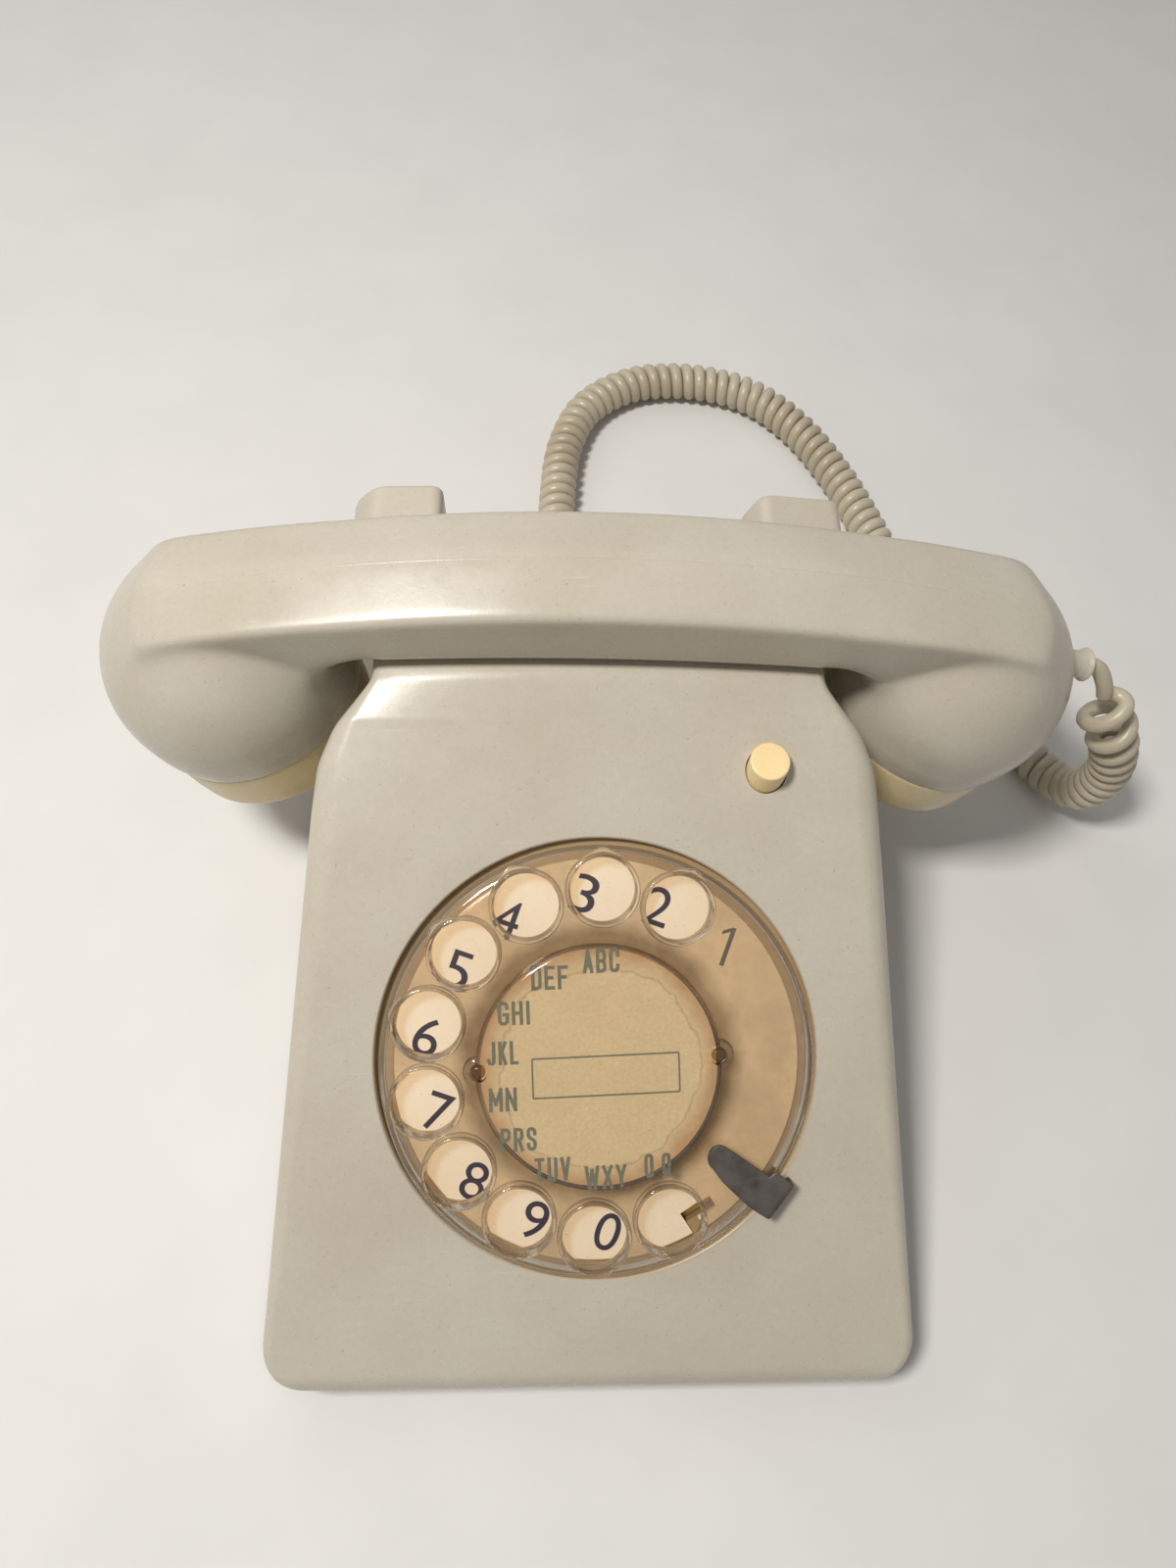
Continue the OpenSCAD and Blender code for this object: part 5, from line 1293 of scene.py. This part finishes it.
    def make_plate(self) -> Piece:
        """Makes the number plate: a disc with a rounded edge and an L-shaped notch."""
        z = self.plate_top
        disc = rounded([(10, z - 1), (self.plate_r - 0.3, z - 1), (self.plate_r, z - 0.7), (self.plate_r, z - 0.2),
                        (self.plate_r - 0.25, z), (10, z)], 0.2, 4)
        plate = self.turned("digit_plate", disc)
        tools = []
        angle = self.first_hole + 9 * 360 / self.steps + 9
        for box in (((41, -4), (50, -4), (50, -1), (41, -1)), ((41, -4), (44, -4), (44, 4), (41, 4))):
            points, quads = prism(np.array(box), -4, 2)
            tools.append(build("cut", self.at.on_dial(points @ turn("Z", angle).T), quads))
        join(plate, tools, Join.CUT)
        return plate

    def make_digits(self) -> Piece:
        """Makes the ten digits, all turned the same way as the plate."""
        places = {"1": (29.3, 26.2), "2": (13.6, 35.2), "3": (-3.4, 38.0), "4": (-21.0, 32.1), "5": (-32.2, 20.4),
                  "6": (-39.0, 5.1), "7": (-36.3, -12.2), "8": (-27.9, -28.1), "9": (-13.9, -37.3), "0": (2.9, -40.2)}
        parts = []
        for text, (x, y) in places.items():
            points, faces = lettering(text, *self.digit_size)
            if text == "1":
                points = np.array([(-0.1, -4.6), (0.95, -4.6), (0.95, 4.6), (0.15, 4.6), (-0.1, 3.5), (-1.9, 2.3),
                                   (-1.9, 3.2), (0.1, 4.6)])
                points = np.column_stack([points, np.zeros(8)])
                faces = [[0, 1, 2, 3, 4], [4, 3, 7, 6, 5]]
            points = points @ turn("Z", self.digit_turn).T + [x, y, self.plate_top + self.print_lift]
            parts.append((self.at.on_dial(points), faces))
        return printed("digits", parts)

    def make_stop(self) -> Piece:
        """Makes the finger stop: a flat strip of changing width carried inwards over the wheel from a bent leg.

        The strip's middle line runs up the leg, round a bend of 1.5 mm and in to the tip. At each place the
        section is a thin rectangle with rounded edges, as wide as the strip is there, and at the tip the
        width follows half a circle.

        Returns:
            The finger stop.
        """
        t, out_r, in_r, top = 0.8, 52.5, 34.2, 6.0
        low = -2.7
        q = np.linspace(0, np.pi / 2, 9)[1:]
        leg = np.column_stack([np.full(12, out_r - t / 2), np.linspace(low, top - 1.1, 12)])
        bend = np.column_stack([out_r - t / 2 - 1.5 * (1 - np.cos(q)), top - 1.1 + 1.5 * np.sin(q)])
        arm = np.column_stack([np.linspace(bend[-1, 0], in_r - 2.7, 60)[1:], np.full(59, top + 0.4)])
        line = np.concatenate([leg, bend, arm])
        tangent = np.gradient(line, axis=0)
        tangent /= np.linalg.norm(tangent, axis=1, keepdims=True)
        out = np.column_stack([tangent[:, 1], -tangent[:, 0]])
        s = line[:, 0]
        right = np.interp(s, [in_r, in_r + 4, out_r - 6, out_r], [3.4, 4.6, 5.6, 5.2])
        left = np.interp(s, [in_r, in_r + 12, out_r - 6, out_r], [2.4, 2.7, 4.6, 4.2])
        tip = np.sqrt(np.clip(1 - ((in_r - s) / 2.75).clip(0, 1) ** 2, 0.0, 1))
        low_leg = np.where((s > out_r - 1) & (line[:, 1] < 0.3), 1.0, 0.0)
        right = np.where(low_leg > 0, 2.2, right) * tip
        left = np.where(low_leg > 0, 2.2, left) * tip
        e = np.linspace(0, 2 * np.pi, 25)[:-1]
        flat = np.sign(np.cos(e)) * np.abs(np.cos(e)) ** 0.25
        thick = np.sign(np.sin(e)) * np.abs(np.sin(e)) ** 0.6 * t / 2
        mid, half = (left - right)[:, None] / 2, ((left + right)[:, None] / 2).clip(0.05)
        across = mid + half * flat
        rings = np.stack([line[:, :1] + out[:, :1] * thick, across, line[:, 1:] + out[:, 1:] * thick], -1)
        points, quads = tube(rings)
        return build("stop_blade", self.at.on_dial(points @ turn("Z", self.at.stop_a).T), quads, 50)


# --- Push button ------------------------------------------------------------------------------------


@dataclass
class PushButton:
    """Round upright push button with a nearly level top."""

    at: Layout
    x: float = 38.0
    y: float = 28.3
    r: float = 4.6
    rise: float = 4.9
    top_tilt: float = 5.0

    def make(self) -> Piece:
        """Makes the button: a turned side, and a nearly level top, z = z0 + y tan(top_tilt), edges rounded."""
        a = self.at
        tilt = math.tan(math.radians(self.top_tilt))
        z0 = a.lip_h + (self.y - a.face_y) * math.tan(math.radians(a.slope))
        side = rounded([(0, z0 - 8.6), (self.r + 2.5, z0 - 8.6), (self.r + 2.5, z0 - 6.6), (self.r, z0 - 6.6),
                        (self.r, z0 - 3)], 0.3, 4)
        q = np.linspace(0, np.pi / 2, 9)
        edge = np.column_stack([self.r - 0.5 * (1 - np.cos(q)), self.rise - 0.5 + 0.5 * np.sin(q)])
        inner = np.column_stack([np.linspace(self.r - 0.5, 0, 8)[1:], np.full(7, self.rise + 0.0)])
        upper = np.concatenate([[(self.r, 0.5)], edge, inner])
        th = np.linspace(0, 2 * np.pi, 64, endpoint=False)
        low = np.stack([side[:, :1] * np.cos(th), side[:, :1] * np.sin(th), side[:, 1:] + 0 * th], -1)
        high = np.stack([upper[:, :1] * np.cos(th), upper[:, :1] * np.sin(th),
                         z0 + upper[:, 1:] + tilt * upper[:, :1] * np.sin(th)], -1)
        points = np.concatenate([low, high]).reshape(-1, 3) + [self.x, self.y, 0]
        return build("button_cap", points, grid_quads(len(side) + len(upper), 64))


# --- Studio -----------------------------------------------------------------------------------------


@dataclass
class Studio:
    """Pale floor, soft light and the camera."""

    light: float = 0.26
    backdrop: float = 0.72
    place: tuple[float, float, float] = (-0.01678, -0.07731, 0.29988)
    angles: tuple[float, float, float] = (24.846, -3.219, -0.730)
    lens: float = 24.55

    def camera(self) -> None:
        """Adds the camera and makes it the scene's."""
        data = bpy.data.cameras.new("camera")
        data.lens, data.sensor_fit, data.sensor_height, data.sensor_width = self.lens, "VERTICAL", 36.0, 36.0
        data.clip_start = 0.01
        camera = bpy.data.objects.new("camera", data)
        camera.location, camera.rotation_euler = self.place, [math.radians(a) for a in self.angles]
        bpy.context.scene.collection.objects.link(camera)
        bpy.context.scene.camera = camera

    def lamp(self, name: str, place: tuple[float, float, float], size: float, power: float, tone: str) -> None:
        """Adds a square soft light that faces the telephone."""
        data = bpy.data.lights.new(name, "AREA")
        data.shape, data.size, data.energy, data.color = "SQUARE", size, power, linear(tone)[:3]
        lamp = bpy.data.objects.new(name, data)
        lamp.location = place
        aim = -np.array(place) + [0, 0, 0.05]
        tilt, heading = math.atan2(math.hypot(aim[0], aim[1]), -aim[2]), math.atan2(aim[1], aim[0])
        lamp.rotation_euler = (tilt, 0, heading - math.pi / 2)
        bpy.context.scene.collection.objects.link(lamp)

    def make(self) -> None:
        """Adds the floor, the lights and an even world, which is paler where it is seen than as a light."""
        side = 3.0
        mesh = bpy.data.meshes.new("floor")
        mesh.from_pydata([(-side, -side, 0), (side, -side, 0), (side, side, 0), (-side, side, 0)], [], [(0, 1, 2, 3)])
        floor = bpy.data.objects.new("floor", mesh)
        bpy.context.scene.collection.objects.link(floor)
        paint = Matt("floor_paint", "#DEDDDA", "#DAD9D6", 0.75, 40.0)
        mesh.materials.append(paint.material())
        self.lamp("key", (-0.28, -0.03, 0.76), 0.13, 5.1, "#FFFCF7")
        self.lamp("fill", (-0.5, 0.7, 0.8), 0.8, 1.6, "#FFFDFA")
        world = bpy.data.worlds.new("world")
        world.use_nodes = True
        tree = world.node_tree
        ray = add_node(tree, "ShaderNodeLightPath")
        seen = maths(tree, "MAXIMUM", ray.outputs["Is Camera Ray"], ray.outputs["Is Transmission Ray"])
        seen = maths(tree, "MAXIMUM", seen, ray.outputs["Is Glossy Ray"])
        back = tree.nodes["Background"]
        back.inputs[0].default_value = linear("#FDFCFA")
        tree.links.new(span(tree, seen, 0.0, 1.0, self.light, self.backdrop), back.inputs[1])
        bpy.context.scene.world = world
        bpy.context.scene.view_settings.view_transform = "Standard"


# --- Assembly ---------------------------------------------------------------------------------------


class Finishes:
    """All finishes, each built once."""

    def __init__(self) -> None:
        """Builds the materials."""
        # Moulded ABS, light stone grey gone warm: satin, faint texture, specks and hair scratches
        self.shell = MouldedPlastic("moulded_abs_stone", "#C1BAAB", "#B9B09F", roughness=0.27).material()
        # The same ABS in a warmer, creamier tone for the caps
        self.cap = MouldedPlastic("moulded_abs_caps", "#DAC9A2", "#D2BE92", roughness=0.3).material()
        # Flexible PVC sheath: softer gloss, no scratches
        self.cord = MouldedPlastic("cord_pvc", "#C2B8A3", "#AFA28A", roughness=0.36, scratches=0.0,
                                   grain_depth_mm=0.006).material()
        # Cast acrylic with a yellow cast, painted shade on its upright walls and a ring of painted shade round the
        # hub
        self.clear = ClearAcrylic("aged_acrylic", "#F6EEE1", film="#8F806A", film_share=0.3, wall_shade_share=0.22,
                                  hub_shade_share=0.26).material()
        # The cover over the card, rubbed clean
        self.cover = ClearAcrylic("cover_acrylic", "#F7F1E6", film_share=0.04).material()
        # The cover's pins, in a browner acrylic with a heavier film
        self.pin = ClearAcrylic("amber_acrylic", "#D9BE90", film_share=0.35).material()
        # Cream styrene of the number plate
        self.plate = MouldedPlastic("number_plate_styrene", "#ECDABF", "#E3CEB0", roughness=0.5,
                                    dirt="#8A6A3E").material()
        self.card = AgedPaper("aged_card", "#DED1B6", "#D2C09D", "#AC7D4A", (0, -34.6, 56.9), 26.3).material()
        self.print = Matt("card_ink", "#566058", "#727768", 0.8, 0.35).material()
        self.ink = Matt("digit_ink", "#2B2230", "#352B38", 0.55, 0.5).material()
        self.button = MouldedPlastic("button_urea", "#F4DAA6", "#ECCE94", roughness=0.34, dirt_share=0.3).material()
        # Phenolic dial case, buff brown under its dust, its tone darkened to paint in the shade of the gap round the
        # wheel's rim
        self.ledge = MouldedPlastic("buff_dial_case", "#A88E66", "#8F744C", roughness=0.5).material()
        # Blackened spring steel, worn to bare metal in spots
        self.stop = SheetMetal("blackened_steel", "#5B5650", "#3A3632", 0.6, 0.5).material()
        self.steel = SheetMetal("zinc_steel", "#A9ABA8", "#8B8A80", 1.0, 0.35).material()
        self.brass = SheetMetal("sheet_brass", "#BFA15E", "#8E7438", 1.0, 0.34).material()
        self.base = SheetMetal("enamelled_steel", "#3E3C38", "#4A4741", 0.0, 0.5).material()
        self.rubber = Matt("foot_rubber", "#1F1E1D", "#2B2A28", 0.85, 1.2).material()
        self.case = MouldedPlastic("phenolic_case", "#33302C", "#2A2724", roughness=0.5).material()
        self.winding = Matt("enamelled_wire", "#8A4A22", "#B06A34", 0.4, 0.3, (0.05, 1, 1), 0.05, 0.6).material()
        self.board = Matt("phenolic_board", "#8E6A38", "#7C5A2C", 0.6, 2.0, (1, 0.1, 1)).material()


def dress(obj: Piece, material: bpy.types.Material) -> None:
    """Gives a piece one material."""
    if obj.type == "MESH" and obj.data.materials:
        for i in range(len(obj.data.materials)):
            obj.data.materials[i] = material
    else:
        obj.data.materials.clear()
        obj.data.materials.append(material)


def settle(obj: Piece, body: str, nodes: tuple[str, ...] = ()) -> None:
    """Makes a piece ride on a body and hides the nodes that it stands for."""
    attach(obj, body)
    if nodes:
        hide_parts(*nodes)
    count = len(obj.data.polygons) if obj.type == "MESH" else len(obj.data.splines[0].points)
    log.info("%s rides on %s: %d faces or points", obj.name, body, count)


def main() -> None:
    """Builds every sub-assembly in order and sets the pieces on their bodies."""
    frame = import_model()
    at, finish, studio = Layout(), Finishes(), Studio()
    studio.camera()

    cord, length = HandsetCord(at).make()
    dress(cord, finish.cord)
    settle(cord, "base", ("handset_cord",))
    log.info("cord length %.3f m", length)

    handset, dial = Handset(at), Dial(at)
    for obj, material, body, slot, nodes in (
            (Housing(at).make(), finish.shell, "base", "shell_plastic", ("housing",)),
            (handset.make_shell(), finish.shell, "handset", "shell_plastic", ("handset_shell",)),
            (handset.make_cap("earpiece_cap", -1, [(4.5, 6), (9, 12)]), finish.cap, "handset", "shell_plastic",
             ("ear_cap",)),
            (handset.make_cap("mouthpiece_cap", 1, [(5, 5), (10, 10)]), finish.cap, "handset", "shell_plastic",
             ("mouth_cap",)),
            (handset.make_relief(), finish.shell, "handset", "shell_plastic", ("strain_relief",)),
            (dial.make_wheel(), finish.clear, "dial", "clear_acrylic", ("finger_wheel",)),
            (dial.make_cover(), finish.cover, "dial", "clear_acrylic", ("centre_cover",)),
            (dial.make_pins(), finish.pin, "dial", "clear_acrylic", ()),
            (dial.make_card(), finish.card, "dial", "card", ("label_card",)),
            (dial.make_letters(), finish.print, "dial", "card", ()),
            (dial.make_plate(), finish.plate, "base", "number_plate_plastic", ("number_plate",)),
            (dial.make_digits(), finish.ink, "base", "number_plate_plastic", ()),
            (dial.make_stop(), finish.stop, "base", "dark_steel", ("finger_stop",)),
            (PushButton(at).make(), finish.button, "button", "button_plastic", ("push_button",))):
        dress(obj, material)
        settle(obj, body, nodes)

    kept = {
        finish.base: ("base_plate",), finish.rubber: ("rubber_feet",),
        finish.steel: ("housing_screws", "main_shaft", "mainspring", "idler_shaft", "governor_shaft",
                       "governor_cup", "pulse_contacts", "hook_bracket", "button_contact", "bell_left",
                       "bell_right", "ringer_frame", "clapper", "receiver_capsule"),
        finish.brass: ("main_gear", "movement_front_plate", "movement_back_plate", "second_gear",
                       "governor_weights", "hook_contacts", "bell_screws"),
        finish.case: ("transmitter_capsule", "pulse_cam", "induction_coil"), finish.ledge: ("dial_case",),
        finish.shell: ("handset_cord_gland", "line_cord_gland", "hook_plungers", "terminal_strip", "capacitor"),
        finish.winding: ("ringer_coil",), finish.board: ("circuit_board",)}
    for material, names in kept.items():
        for name in names:
            dress(frame["nodes"][name], material)

    studio.make()
    bpy.context.view_layer.update()


if __name__ == "__main__":
    main()
